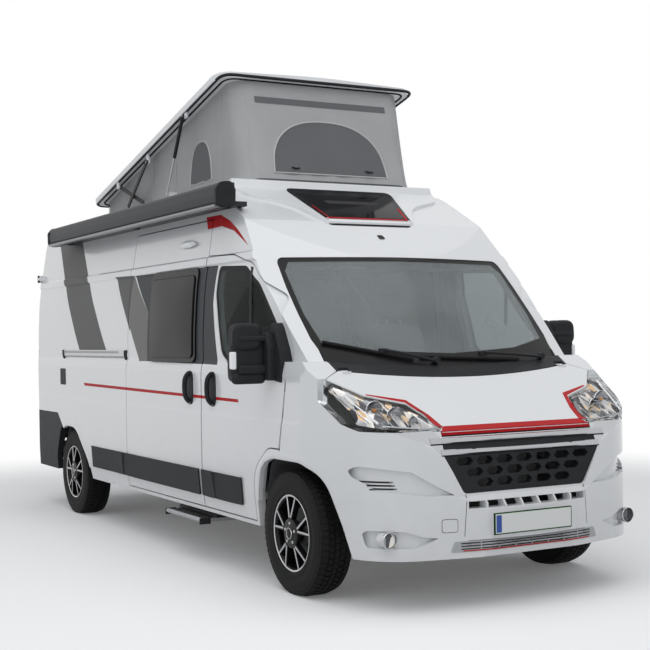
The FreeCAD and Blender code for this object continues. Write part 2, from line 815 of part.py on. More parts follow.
trim_low, trim_high = 448, 617
rear_trim_ends = [(rear_axle - 745, trim_low + 8), (rear_axle - 607, trim_high + 1)]
rear_trim = moulding("rear_trim", [(slide_rear + 10, trim_low)] + rear_trim_ends + [(slide_rear + 10, trim_high)])
left_trim = moulding("left_trim", [(slide_front + 18, trim_low)] + rear_trim_ends + [(slide_front + 18, trim_high)])
slide_trim = moulding("slide_trim", [(slide_front + 18, trim_low), (slide_rear - 10, trim_low),
                                     (slide_rear - 10, trim_high), (slide_front + 18, trim_high)])
sliding_panel = cut("sliding_panel",
                    overlap("sliding_wall", shell, right_half("slide_door_zone", slide_door_outline(-seam))),
                    slide_window_hole)
keep(fuse("sliding_panel_trimmed", sliding_panel, slide_trim), "sliding_door")
keep(camper_window("sliding_glass", slide_front + 130, slide_rear - 478, 1325, 1938), "sliding_door_window")
rail_outline = [(slide_rear + 46, 1345), (rear_axle + 210, 1345), (rear_axle + 210, 1392), (slide_rear + 46, 1392)]
keep(overlap("slide_rail_strip", proud_skin, right_half("slide_rail_outline", rail_outline)), "slide_rail")

cab_trim = moulding("cab_trim", [(slide_front - 586, trim_high), (slide_front - 540, trim_low),
                                 (slide_front - 18, trim_low), (slide_front - 18, trim_high)])
cab_door_bare = cut("cab_door_bare",
                    overlap("cab_door_wall", shell, right_half("cab_door_zone", cab_door_outline(-seam))),
                    cab_window_hole)
cab_door_panel = fuse("cab_door_panel", cab_door_bare, cab_trim)
keep(cab_door_panel, "cab_door_right")
keep(mirrored("cab_door_panel_left", cab_door_panel), "cab_door_left")
cab_pane = glass("cab_pane", cab_window_hole)
keep(cab_pane, "cab_glass_right")
keep(mirrored("cab_pane_left", cab_pane), "cab_glass_left")

# Roof: everything above the gutter and over the windscreen and rear doors.
roof_zone = fuse("roof_zone",
                 block("roof_top_zone", (-beyond, beyond), (nose + 400, tail), (gutter + seal, 2600)),
                 block("forehead_zone", (-cell("screen_half") + 3 + seal, cell("screen_half") - 3 - seal),
                       (nose + 400, front_axle + 1100), (cell("screen_top") - 120, gutter + 20)),
                 block("rear_header_zone", (-800, 800), (rear_face - 120, tail), (gutter - 80, gutter + 20)))
hatch_hole = block("hatch_hole", (-cell("hatch_half"), cell("hatch_half")),
                   (-cell("hatch_front"), cell("hatch_rear")), (2350, 2700))
skylight_corners = [
    (-299, front_axle + 731),
    (299, front_axle + 731),
    (377, front_axle + 1120),
    (-377, front_axle + 1120),
]
skylight_hole = prism("skylight_hole", "xy", skylight_corners, 2100, 2700)
keep(cut("roof_panel", overlap("roof_wall", shell, roof_zone), screen_hole, rear_doors_hole, hatch_hole,
         skylight_hole, both_sides("cab_door_holes", cab_door_hole)), "roof_shell")

# Rear: two leaves that meet on the middle plane, each with a window.
rear_hinge_x = cell("rear_door_half") + 12
rear_hinge_y = tail - 8
leaf_window = prism("leaf_window", "xz", [
    (-cell("rear_door_half") + 190, 1440, 60),
    (-110, 1440, 60),
    (-110, 1960, 60),
    (-cell("rear_door_half") + 190, 1960, 60),
], rear_face - 200, tail + 100)
leaf_zone = prism("leaf_zone", "xz", leaf_outline(-seam, -seam / 2), rear_face - wall - seal, tail + 100)
leaf = cut("leaf", overlap("leaf_wall", shell, leaf_zone), leaf_window)
keep(leaf, "rear_door_right")
keep(mirrored("leaf_left", leaf), "rear_door_left")
leaf_pane = glass("leaf_pane", leaf_window)
keep(leaf_pane, "rear_glass_right")
keep(mirrored("leaf_pane_left", leaf_pane), "rear_glass_left")

bumper_half = overlap("bumper_corner_wall", right_walls, bumper_corner)
bumper_beam = block("bumper_beam", (-half + 120, half - 120), (rear_face - wall, tail), (390, 540))
keep(cut("rear_bumper_whole", fuse("rear_bumper_parts", bumper_half, mirrored("bumper_half_left", bumper_half),
                                   bumper_beam), rear_doors_hole), "rear_bumper")
tail_lamp_inner = block("tail_lamp_inner", (-beyond, -cell("rear_door_half") - 6 - seal),
                        (rear_face - 70 + seal, tail), (930 + seal, 1390 - seal))
keep(both_sides("tail_lamp_pair", overlap("tail_lamp_wall", right_walls, tail_lamp_inner)), "tail_lamps")

# ---- inner frame, floor and chassis -----------------------------------------------------------------

hoop_depth = 45
hoop_spots = fuse("hoop_spots", *[
    block("hoop_spot_%d" % number, (-beyond, beyond), (middle - 45, middle + 45), (deck + seal, 2600))
    for number, middle in enumerate((slide_front, slide_rear, rear_axle - 500), start=1)])
inside = body_form("inside", wall + seal)
keep(cut("hoops", overlap("hoop_rings", inside, hoop_spots),
         body_form("hoop_inner", wall + hoop_depth), hatch_hole), "inner_frame")

floor_side = inner_side - seal
floor_under = deck - cell("floor_thickness")
floor_front = front_axle - 112
bulkhead = block("bulkhead", (-905, 905), (floor_front, floor_front + 12), (floor_under, 1150))
floor_sheet = block("floor_sheet", (-half, half), (floor_front, rear_face - wall - seal), (floor_under, deck))
keep(cut("floor_plate", fuse("floor_and_bulkhead", overlap("floor_in_body", floor_sheet, inside), bulkhead), arches),
     "floor_pan")


def wheel_housing(name, outline_of, inner_x):
    """The box round a wheel arch, from the body side inwards."""
    skin = 8
    ring = cut(name + "_ring", prism(name + "_out", "yz", outline_of(0), -floor_side + 20, -inner_x),
               prism(name + "_in", "yz", outline_of(-skin), -floor_side + 19, -inner_x - skin))
    trim = block(name + "_trim", (-beyond, 0), (nose, tail), (100, hub + 60))
    window = block(name + "_window", (-600, -540), (front_axle - 70, front_axle + 70), (100, floor_under))
    return both_sides(name, cut(name + "_open", ring, trim, window))


housing_front = wheel_housing("front_housing", front_arch, 560 + seal)
housing_rear = wheel_housing("rear_housing", rear_arch, 690 + seal)
keep(fuse("wheel_housings", housing_front, housing_rear), "wheel_housings")

rail_top = floor_under - seal
rail_x = 430
rail_long = block("rail_long", (-rail_x - 70, -rail_x), (nose + 290, rear_face - 75), (rail_top - 85, rail_top))
rail_tow = block("rail_tow", (-rail_x - 60, -rail_x - 10), (rear_face - 75, rear_face - 61), (430, 490))
cross_members = [
    block("cross_member_%d" % number, (-rail_x, rail_x), (y, y + 60), (rail_top - 70, rail_top - 10))
    for number, y in enumerate((nose + 300, front_axle + 480, 420, rear_axle - 560, rear_axle + 620), start=1)]
engine_bearer = block("engine_bearer", (-rail_x, rail_x), (front_axle - 400, front_axle - 340), (390, 430 - seal))
step_front = -900
step_rear = -300
step_box = block("step_box", (-inner_side + 12, -inner_side + 352), (step_front - 14, step_rear + 14), (300, 322))
step_hangers = [block("step_hanger_%d" % number, (-900, -rail_x - 60), (y, y + 40), (322, rail_top))
                for number, y in enumerate((step_front + 60, step_rear - 100), start=1)]
chassis = doc.addObject("Part::Compound", "chassis")
chassis.Links = [rail_long, rail_tow, mirrored("rail_left", rail_long), mirrored("rail_tow_left", rail_tow), step_box,
                 engine_bearer] + cross_members + step_hangers
keep(chassis, "chassis_frame")
keep(block("step_plate", (-half - 28, -inner_side + 292), (step_front, step_rear), (275, 299.7)), "entry_step")

keep(block("engine", (-330, 330), (front_axle - 580, front_axle - 140), (430, 960)), "engine_block")
keep(fuse("tank_pair", block("fuel_tank", (250, rail_x - seal), (-700, 300), (300, rail_top)),
          block("waste_tank", (rail_x + 70 + seal, 900), (-300, 900), (310, rail_top))), "tanks")

# ---- axles, knuckles and wheels ---------------------------------------------------------------------

stub = cell("stub_radius")
stub_bore = stub + cell("fit_gap")
kingpin = cell("kingpin_x")
kingpin_radius = 14
pin_bore = kingpin_radius + cell("fit_gap")

link_half = 28
tower_x = (-560 + 2, -rail_x - 70 - seal)
arm_right = fuse("front_arm_right",
                 block("lower_arm", (-kingpin - 28, -rail_x), (front_axle - link_half, front_axle + link_half),
                       (hub - 157, hub - 130)),
                 block("upper_arm", (-kingpin - 28, tower_x[1]), (front_axle - link_half, front_axle + link_half),
                       (hub + 120, hub + 146)),
                 rod("kingpin_rod", "z", (-kingpin, front_axle, hub - 150), 290, kingpin_radius),
                 block("tower", tower_x, (front_axle - 60, front_axle + 60), (185, hub + 146)),
                 block("subframe_post", (-rail_x - 60, -rail_x - 10), (front_axle - 50, front_axle + 110),
                       (290, rail_top - 85 - seal)))
subframe = block("subframe", (-rail_x - 60, rail_x + 60), (front_axle - 60, front_axle + 120), (185, 300))
keep(fuse("front_suspension_pair", arm_right, mirrored("front_arm_left", arm_right), subframe),
     "front_suspension")

knuckle_body = fuse("knuckle_body",
                    block("knuckle_block", (-kingpin - 34, -kingpin + 34), (front_axle - 48, front_axle + 48),
                          (hub - 95, hub + 95)),
                    rod("front_spindle", "x", (-cell("front_tyre_x") - 78, front_axle, hub),
                        cell("front_tyre_x") + 78 - kingpin, stub))
knuckle = cut("knuckle_right_bored", knuckle_body,
              rod("kingpin_hole", "z", (-kingpin, front_axle, hub - 200), 400, pin_bore))
keep(knuckle, "knuckle_right")
keep(mirrored("knuckle_left_bored", knuckle), "knuckle_left")

axle_reach = cell("rear_tyre_x") + 78
rear_spring = block("rear_spring", (-rail_x - 60, -rail_x - 10), (rear_axle - 520, rear_axle + 560), (385, rail_top - 85))
keep(fuse("rear_axle_whole",
          rod("rear_axle_tube", "x", (-740, rear_axle, hub), 1480, 45),
          rod("rear_spindles", "x", (-axle_reach, rear_axle, hub), axle_reach * 2, stub),
          rear_spring, mirrored("rear_spring_left", rear_spring)), "rear_axle")

tyre_half = cell("tyre_width") / 2
tread = cell("tyre_radius")
bead = cell("rim_radius") - 12


def tyre_section():
    return [
        (-tyre_half + 12, bead),
        (-tyre_half, bead + 75, 50),
        (-tyre_half + 10, tread, 26),
        (tyre_half - 10, tread, 26),
        (tyre_half, bead + 75, 50),
        (tyre_half - 12, bead),
    ]


def rim_section():
    """Barrel, dished face and hub, turned as one. The face is on the outboard side."""
    lip = cell("rim_radius")
    low = tyre_half - 12
    return [
        (-low, bead - seal),
        (low, bead - seal),
        (low + 4, lip),
        (low + 10, lip - 4),
        (low + 2, lip - 16),
        (low + 4, 130),
        (low + 14, 82),
        (low + 24, 40),
        (low + 24, 0),
        (86, 0),
        (86, stub_bore),
        (-8, stub_bore),
        (-8, 88),
        (low - 28, 110),
        (low - 34, lip - 40),
        (-low + 6, lip - 32),
        (-low, lip - 24),
    ]


def spoke_windows(name):
    """Ten openings through the wheel's face: five wide ones between pairs of spokes, five narrow ones in them."""
    outer_r = cell("rim_radius") - 28
    tools = []
    for kind, inner_r, spread_in, spread_out, turn in (("wide", 104, 9, 17, 0), ("narrow", 132, 3, 8.5, 36)):
        for number in range(5):
            angle = math.radians(turn + 72 * number)
            corners = []
            for radius, spread in ((inner_r, -spread_in), (outer_r, -spread_out), (outer_r, spread_out),
                                   (inner_r, spread_in)):
                bearing = angle + math.radians(spread)
                corners.append((as_size(radius) * math.cos(bearing), as_size(radius) * math.sin(bearing)))
            tools.append(prism("%s_%s_%d" % (name, kind, number), "yz", corners, 0, 200))
    return tools


def wheels(end, x, y):
    """Tyres and rims of one axle. The left one is made, the right one is its mirror."""
    tyre = place(turned("tyre_%s_ring" % end, tyre_section()), x, y, hub)
    rim = cut("rim_%s_cut" % end, turned("rim_%s_blank" % end, rim_section()), *spoke_windows("window_" + end))
    place(rim, x, y, hub)
    for part, piece in (("tyre", tyre), ("rim", rim)):
        keep(piece, "%s_%s_left" % (part, end))
        keep(mirrored("%s_%s_other" % (part, end), piece), "%s_%s_right" % (part, end))


wheels("front", cell("front_tyre_x"), front_axle)
wheels("rear", cell("rear_tyre_x"), rear_axle)

# ---- hinges -----------------------------------------------------------------------------------------

fit = cell("fit_gap")


def cab_hinge(name, z):
    """Pin in a notch of the right-hand door, held by an arm that reaches back from the body."""
    x, y, radius = -half + 24, front_axle + 110, 6
    inner = -inner_side
    notch = block(name + "_notch", (x - 17, inner + 50), (front_axle, y + 17), (z - 23, z + 23))
    pin = rod(name + "_pin", "z", (x, y, z - 30), 60, radius)
    arm = fuse(name + "_arm_whole",
               rod(name + "_eye", "z", (x, y, z - 17), 34, radius + 5),
               block(name + "_reach", (x, inner + 100), (y - 8, y + 8), (z - 17, z + 17)),
               block(name + "_shank", (inner + 82, inner + 100), (door_front - 90, y + 8), (z - 17, z + 17)),
               block(name + "_foot", (inner, inner + 100), (door_front - 90, door_front - 40),
                     (z - 17, z + 17)))
    eye_hole = rod(name + "_hole", "z", (x, y, z - 40), 80, radius + fit)
    return notch, pin, cut(name + "_arm", arm, eye_hole)


cab_hinges = [cab_hinge("cab_hinge_low", 1035), cab_hinge("cab_hinge_high", 1185)]


def hinged(panel, hinges, name):
    relief = block(name + "_relief", (-inner_side + 10, -700), (slide_front - seam - 8, slide_front),
                   (door_foot, 2100))
    notched = cut(name + "_notched", panel, relief, *[notch for notch, pin, arm in hinges])
    return fuse(name, notched, *[pin for notch, pin, arm in hinges])


cab_door_right = hinged(cab_door_panel, cab_hinges, "cab_door_hinged")
keep(cab_door_right, "cab_door_right")
keep(mirrored("cab_door_hinged_left", cab_door_right), "cab_door_left")
wing_arms = fuse("wing_arms", *[arm for notch, pin, arm in cab_hinges])
keep(fuse("wings_with_arms", nodes["front_wings"], wing_arms, mirrored("wing_arms_left", wing_arms)),
     "front_wings")


def rear_hinge(name, z, lug_reach):
    """Strap hinge at the right-hand rear corner: a lug and pin on the body, two straps on the leaf."""
    x, radius = -rear_hinge_x, 5
    lug = fuse(name + "_lug_whole",
               block(name + "_lug", (x - 8, x + lug_reach), (rear_face - 40, tail - 8), (z - 12, z + 12)),
               rod(name + "_pin", "z", (x, rear_hinge_y, z - 34), 68, radius))
    lug = cut(name + "_lug_fit", lug, outer)
    straps = []
    for number, low in enumerate((z - 33, z + 13), start=1):
        straps.append(rod("%s_eye_%d" % (name, number), "z", (x, rear_hinge_y, low), 20, radius + 2))
        straps.append(block("%s_strap_%d" % (name, number), (x, x + 110), (rear_face + 5, tail - 1), (low, low + 20)))
        straps.append(block("%s_foot_%d" % (name, number), (x + lug_reach + 22, x + 110), (rear_face - 4, tail - 1),
                            (low, low + 20)))
    hole = rod(name + "_hole", "z", (x, rear_hinge_y, z - 40), 80, radius + fit)
    return lug, cut(name + "_straps", fuse(name + "_strap_pair", *straps), hole)


rear_hinges = [rear_hinge("rear_hinge_1", 900, 8), rear_hinge("rear_hinge_2", 1430, 8),
               rear_hinge("rear_hinge_3", 2040, 59)]
rear_leaf = fuse("rear_leaf", leaf, *[straps for lug, straps in rear_hinges])
keep(rear_leaf, "rear_door_right")
keep(mirrored("rear_leaf_left", rear_leaf), "rear_door_left")
rear_lugs = fuse("rear_lugs", *[lug for lug, straps in rear_hinges])
mirrored_lugs = mirrored("rear_lugs_left", rear_lugs)

# Bonnet: a knuckle at each rear corner turns on a pin across a notch in the scuttle.
bonnet_axis_y = front_axle - 249
bonnet_axis_z = 1270
bonnet_pin = 5
bonnet_knuckle = fuse("bonnet_knuckle",
                      rod("bonnet_eye", "x", (-795, bonnet_axis_y, bonnet_axis_z), 50, bonnet_pin + 4),
                      block("bonnet_link", (-795, -745), (bonnet_axis_y - 45, bonnet_axis_y),
                            (bonnet_axis_z - 9, bonnet_axis_z + 5)))
bonnet_bore = rod("bonnet_bore", "x", (-850, bonnet_axis_y, bonnet_axis_z), 150, bonnet_pin + fit)
keep(cut("bonnet_hinged", fuse("bonnet_whole", nodes["bonnet"], both_sides("bonnet_knuckles", bonnet_knuckle)),
         both_sides("bonnet_bores", bonnet_bore)), "bonnet")
scuttle_notch = block("scuttle_notch", (-802, -738), (bonnet_axis_y - 60, bonnet_axis_y + 16),
                      (bonnet_axis_z - 16, 1400))
scuttle_pin = rod("scuttle_pin", "x", (-808, bonnet_axis_y, bonnet_axis_z), 76, bonnet_pin)
keep(fuse("scuttle_hinged", cut("scuttle_notched", nodes["scuttle"], both_sides("scuttle_notches", scuttle_notch)),
          both_sides("scuttle_pins", scuttle_pin)), "scuttle")

# Sliding door: a carriage at its rear edge rides in the side's rail.
carriage = block("slide_carriage", (-inner_side - 38, -inner_side - 8), (slide_rear - seam - 10, slide_rear - seal),
                 (1340, 1370))
keep(fuse("sliding_door_carried", nodes["sliding_door"], carriage), "sliding_door")
keep(fuse("side_right_lugged", nodes["side_right"], rear_lugs, rear_trim), "side_right")
keep(fuse("side_left_lugged", nodes["side_left"], mirrored_lugs, mirrored("left_trim_fitted", left_trim)), "side_left")

# ---- pop-up roof ------------------------------------------------------------------------------------

hinge_y = cell("pop_hinge_y")
hinge_z = cell("pop_hinge_height")
raised = cell("pop_angle")
slope = Size(math.tan(math.radians(raised.value)), "tan(%s)" % raised.text)
cosine = Size(math.cos(math.radians(raised.value)), "cos(%s)" % raised.text)
clearance = cell("pop_clearance")
base_half = cell("base_half")
base_top = cell("base_top")
base_front = -880
base_rear = hinge_y + 48


def lid_under(y):
    """Height of the raised lid's underside at a place along the vehicle."""
    return hinge_z + clearance / cosine - (y - hinge_y) * slope


cover_slope = prism("cover_slope", "yz", [
    (front_axle + 701, 2100),
    (front_axle + 701, 2215),
    (front_axle + 716, 2232),
    (front_axle + 1148, 2474),
    (front_axle + 1171, base_top),
    (front_axle + 1351, base_top),
    (front_axle + 1351, 2100),
], -beyond, beyond)
cover_plan = prism("cover_plan", "xy", both_halves([
    (0, front_axle + 680),
    (330, front_axle + 705, 60),
    (470, front_axle + 930, 300),
    (740, front_axle + 1040, 80),
    (790, front_axle + 1130, 60),
    (base_half, front_axle + 1360, 60),
    (0, front_axle + 1360),
]), 2000, 2700)
base_plan = prism("base_plan", "xy", both_halves([
    (0, front_axle + 1350),
    (base_half, front_axle + 1350),
    (base_half, base_rear, 110),
    (0, base_rear),
]), 2300, base_top)
hinge_x = 600
pop_pin = 8
pop_eye = 14
cheeks = [block("pop_cheek_%d" % number, (low, low + 13), (hinge_y - 18, hinge_y + 18), (base_top - 10, hinge_z + 12))
          for number, low in enumerate((-hinge_x - 50, -hinge_x + 37), start=1)]
pop_pins = rod("pop_hinge_pin", "x", (-hinge_x - 45, hinge_y, hinge_z), 90, pop_pin)
base_hinges = both_sides("base_hinges", fuse("base_hinge", pop_pins, *cheeks))
keep(fuse("roof_base_whole",
          cut("roof_base_plate", fuse("roof_base_body", overlap("front_cover", cover_slope, cover_plan), base_plan),
              outer, hatch_hole, skylight_hole), base_hinges), "roof_base")

skylight_zone = prism("skylight_zone", "xy", [
    (-299 + seal, front_axle + 731 + seal),
    (299 - seal, front_axle + 731 + seal),
    (377 - seal, front_axle + 1120 - seal),
    (-377 + seal, front_axle + 1120 - seal),
], 2100, 2700)
skylight_slab = prism("skylight_slab", "yz", [
    (front_axle + 716, 2229),
    (front_axle + 1148, 2471),
    (front_axle + 1148, 2461),
    (front_axle + 716, 2219),
], -400, 400)
keep(overlap("skylight_pane", skylight_slab, skylight_zone), "skylight")

lid_half = cell("pop_half")
lid_tail = cell("pop_tail")
lid_front = lid_tail - cell("pop_length")
lid_low = clearance
lid_high = clearance + cell("pop_thickness")
lid_rim = prism("lid_rim", "xy", both_halves([
    (0, lid_front - 25, 3000),
    (lid_half, lid_front + 25, 110),
    (lid_half, lid_tail, 90),
    (0, lid_tail),
]), lid_low, lid_high)
lid_crown = prism("lid_crown", "xz", both_halves([
    (0, lid_high - 1),
    (lid_half - 16, lid_high - 1),
    (lid_half - 110, lid_high + cell("pop_crown") - 16, 120),
    (0, lid_high + cell("pop_crown")),
]), lid_front + 85, lid_tail - 14)
lid_eyes = [rod("lid_eye", "x", (-hinge_x - 30, 0, 0), 60, pop_eye),
            block("lid_lug", (-hinge_x - 30, -hinge_x + 30), (-14, 14), (0, lid_low + 1))]

# Places on the lid are measured from its hinge, with the lid shut.
strut_x = 790
pin = 5
strut_top = (-2043, -5)
strut_foot = (232, base_top + 18)
front_arm_x = 769
front_arm_top = (-1229, -45)
front_arm_foot = (1107, base_top + 12)
rear_arm_x = 751
rear_arm_top = (-568, -15)
rear_arm_foot = (825, base_top + 12)


def on_lid(name, spot, x, reach, drop):
    """A bracket under the lid with a pin along X. The pin reaches from the bracket past a link's eye."""
    low, high = (x, reach) if reach > x else (reach, x)
    side = (x - 14, x) if reach > x else (x, x + 14)
    plate = block(name + "_plate", side, (spot[0] - 18, spot[0] + 18), (as_size(spot[1]) - drop, lid_low + 1))
    return [plate, rod(name + "_pin", "x", (low, spot[0], spot[1]), high - low, pin)]


lid_brackets = (on_lid("strut_bracket", strut_top, -770, -799, 14) +
                on_lid("front_arm_bracket", front_arm_top, -761, -777, 14) +
                on_lid("rear_arm_bracket", rear_arm_top, -759, -743, 14))
lid_parts = fuse("lid_fittings", *lid_eyes, *lid_brackets)
lid_whole = fuse("lid_whole", lid_rim, lid_crown, both_sides("lid_sides", lid_parts))
lid_bore = rod("lid_bore", "x", (-hinge_x - 40, 0, 0), 80, pop_pin + fit)
lid = cut("lid", lid_whole, both_sides("lid_bores", lid_bore))


def raise_lid(piece):
    """Turn a piece about the lid's hinge from shut to raised."""
    piece.Placement = Placement(Vector(), Rotation(Vector(-1, 0, 0), 10))
    bind(piece, "Placement.Rotation.Angle", raised)
    return place(piece, 0, hinge_y, hinge_z)


keep(raise_lid(lid), "pop_roof")


def lifted(spot):
    """Where a place on the shut lid is when the lid is raised."""
    sine = slope * cosine
    y = as_size(spot[0]) * cosine + as_size(spot[1]) * sine + hinge_y
    z = as_size(spot[1]) * cosine - as_size(spot[0]) * sine + hinge_z
    return y, z


def aimed(piece, start, end, x):
    """Set a piece that runs along -Z from its own origin between two places in side view."""
    y, z = start
    run, fall = as_size(end[0]) - y, z - as_size(end[1])
    piece.Placement = Placement(Vector(), Rotation(Vector(1, 0, 0), 10))
    angle = Size(math.degrees(math.atan2(run.value, fall.value)), "atan2(%s; %s)" % (run.text, fall.text))
    bind(piece, "Placement.Rotation.Angle", angle)
    return place(piece, x, y, z)


def distance(start, end):
    run, fall = as_size(end[0]) - start[0], as_size(end[1]) - start[1]
    return root(run * run + fall * fall)


# Gas struts: a cylinder on the lid, a rod that ends beside a stud on the roof base.
strut_length = distance(lifted(strut_top), strut_foot)
cylinder_length = 325
rod_radius = cell("strut_rod_radius")
strut_eye = 10
cylinder = cut("strut_cylinder",
               fuse("strut_cylinder_whole",
                    rod("strut_tube", "z", (0, 0, -cylinder_length), cylinder_length - 14, cell("strut_radius")),
                    rod("strut_top_eye", "x", (-6, 0, 0), 12, strut_eye),
                    block("strut_neck", (-6, 6), (-7, 7), (-20, 0))),
               rod("strut_top_bore", "x", (-20, 0, 0), 40, pin + fit),
               rod("strut_tube_bore", "z", (0, 0, -cylinder_length - 5), cylinder_length - 35, rod_radius + fit))
strut_rod = fuse("strut_rod_whole",
                 rod("strut_rod", "z", (0, 0, -strut_length), 305, rod_radius),
                 rod("strut_foot_eye", "x", (-7, 0, -strut_length), 14, strut_eye))
strut_line = (lifted(strut_top), strut_foot, -strut_x)
keep(both_sides("strut_cylinder_pair", aimed(cylinder, *strut_line)), "strut_cylinders")
keep(both_sides("strut_rod_pair", aimed(strut_rod, *strut_line)), "strut_rods")


def roof_arm(name, top, foot, x):
    """A flat link that hangs from the lid. Its foot rides just above the base's rail."""
    thick, deep = cell("arm_thickness"), cell("arm_depth")
    length = distance(lifted(top), foot)
    arm = cut(name + "_bored",
              fuse(name + "_whole",
                   block(name + "_link", (-thick / 2, thick / 2), (-deep / 2, deep / 2), (-length, 0)),
                   rod(name + "_eye", "x", (-thick / 2, 0, 0), thick, deep / 2),
                   rod(name + "_foot", "x", (-thick / 2, 0, -length), thick, deep / 2)),
              rod(name + "_bore", "x", (-20, 0, 0), 40, pin + fit))
    return both_sides(name + "_pair", aimed(arm, lifted(top), foot, x))


keep(roof_arm("front_arm", front_arm_top, front_arm_foot, -front_arm_x), "roof_arms_front")
keep(roof_arm("rear_arm", rear_arm_top, rear_arm_foot, -rear_arm_x), "roof_arms_rear")
foot_rail = block("foot_rail", (-front_arm_x - 9, -base_half + 10), (rear_arm_foot[0] - 75, front_arm_foot[0] + 105),
                  (2400, base_top - 15))
stud_y, stud_z = strut_foot
strut_stud = fuse("strut_stud",
                  block("strut_stud_bracket", (-base_half - 26, -base_half + 20), (stud_y - 20, stud_y + 20),
                        (2440, stud_z + 10)),
                  rod("strut_stud_pin", "x", (-strut_x + 7 + seal, stud_y, stud_z), strut_x - base_half - 7, pin))
keep(fuse("roof_base_railed", nodes["roof_base"],
          both_sides("base_fittings", cut("base_fitting", fuse("base_fitting_whole", foot_rail, strut_stud),
                                          outer))), "roof_base")

# Tent: a wedge of cloth walls between the base and the lid.
cloth = cell("tent_cloth")
tent_half = cell("tent_half")


def tent_wedge(name, inset, spill):
    low = base_top + seal - spill
    front, rear, brow = base_front + inset, hinge_y - 70 - inset, base_front + 220 + inset
    return prism(name, "yz", [
        (front, low),
        (rear, low),
        (rear, lid_under(rear) - seal * 2 + spill),
        (brow, lid_under(brow) - seal * 2 + spill),
    ], -tent_half + inset, tent_half - inset)


keep(cut("tent_walls", tent_wedge("tent_outside", as_size(0), 0), tent_wedge("tent_inside", cloth, 30)), "tent")

# ---- awning, mirrors and cab ------------------------------------------------------------------------

awning_case = prism("awning_case", "xz", [
    (-962, 2296),
    (-1010, 2285, 20),
    (-1082, 2300, 30),
    (-1090, 2360, 40),
    (-1080, 2430, 30),
    (-1030, 2445, 20),
    (-962, 2438),
], front_axle + 741, rear_axle + 253)
awning_rail = block("awning_rail", (-964, -850), (front_axle + 800, rear_axle + 200), (2300, 2330))
keep(fuse("awning_whole", awning_case, cut("awning_rail_fit", awning_rail, outer)), "awning")

mirror_y = front_axle + 160
mirror_out = cell("mirror_reach")
housing = prism("mirror_housing", "xz", [
    (-mirror_out, 1202, 45),
    (-mirror_out + 222, 1202, 30),
    (-mirror_out + 214, 1557, 45),
    (-mirror_out + 14, 1557, 60),
], mirror_y, mirror_y + 105)
mirror_arms = fuse("mirror_arms",
                   block("mirror_arm_low", (-mirror_out + 204, -960), (mirror_y + 15, mirror_y + 75), (1222, 1258)),
                   block("mirror_arm_high", (-mirror_out + 204, -960), (mirror_y + 20, mirror_y + 70), (1298, 1322)),
                   block("mirror_base", (-1024, -960), (mirror_y + 5, mirror_y + 95), (1210, 1335)))
mirror = fuse("mirror", housing, cut("mirror_arms_fit", mirror_arms, outer))
keep(mirror, "mirror_right")
keep(mirrored("mirror_other", mirror), "mirror_left")

dash_front = floor_front + 12 + seal
dash_rear = dash_front + 400
dash = prism("dashboard_block", "yz", [
    (dash_front, 800),
    (dash_front, 1190),
    (dash_front + 60, 1235),
    (dash_rear - 70, 1235, 60),
    (dash_rear, 1080, 60),
    (dash_rear - 100, 800),
], -845, 845)

seat_x = 430
seat = fuse("seat",
            block("seat_box", (-seat_x - 210, -seat_x + 210), (-1420, -1000), (deck + seal, 850)),
            block("seat_cushion", (-seat_x - 250, -seat_x + 250), (-1480, -960), (850, 990)),
            prism("seat_back", "yz", [(-1080, 960), (-960, 960), (-860, 1650), (-960, 1650)],
                  -seat_x - 240, -seat_x + 240))
keep(both_sides("seats", seat), "cab_seats")

column_radius = 38


def on_column(piece):
    """Set a piece on the steering column, which leans back towards the driver."""
    piece.Placement = Placement(Vector(), Rotation(Vector(-1, 0, 0), 65))
    return place(piece, seat_x, dash_rear + 150, 1150)


wheel_rim = doc.addObject("Part::Torus", "steering_rim")
bind(wheel_rim, "Radius1", 190)
bind(wheel_rim, "Radius2", 15)
column = fuse("steering_column", wheel_rim,
              block("steering_spokes", (-185, 185), (-18, 18), (-12, 12)),
              rod("steering_shaft", "z", (0, 0, -220), 235, column_radius))
keep(on_column(column), "steering_wheel")
column_hole = on_column(fuse("column_hole",
                             rod("column_well", "z", (0, 0, -220 - seal), 150, column_radius + seal),
                             rod("column_mouth", "z", (0, 0, -120), 120, column_radius + seal)))
keep(cut("dashboard_bored", dash, column_hole), "dashboard")

# ---- checks and files -------------------------------------------------------------------------------

doc.recompute()
failed = [obj.Label for obj in doc.Objects if "Invalid" in obj.State or "Error" in obj.State]
if failed:
    raise ValueError("objects that failed: " + ", ".join(failed))
for name, piece in nodes.items():
    if piece.Shape.isNull() or not piece.Shape.isValid() or not piece.Shape.Solids:
        raise ValueError("no valid solid in " + name)

os.makedirs("parts", exist_ok=True)
for name, piece in nodes.items():
    piece.Shape.exportStep("parts/%s.step" % name)
print("wrote %d pieces" % len(nodes))
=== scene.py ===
"""Looks of the camper van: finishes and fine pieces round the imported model. Metres, +Z up, nose to -Y."""
import json
import math
import random

import bmesh
import bpy
from mathutils import Matrix, Vector
from mathutils.bvhtree import BVHTree


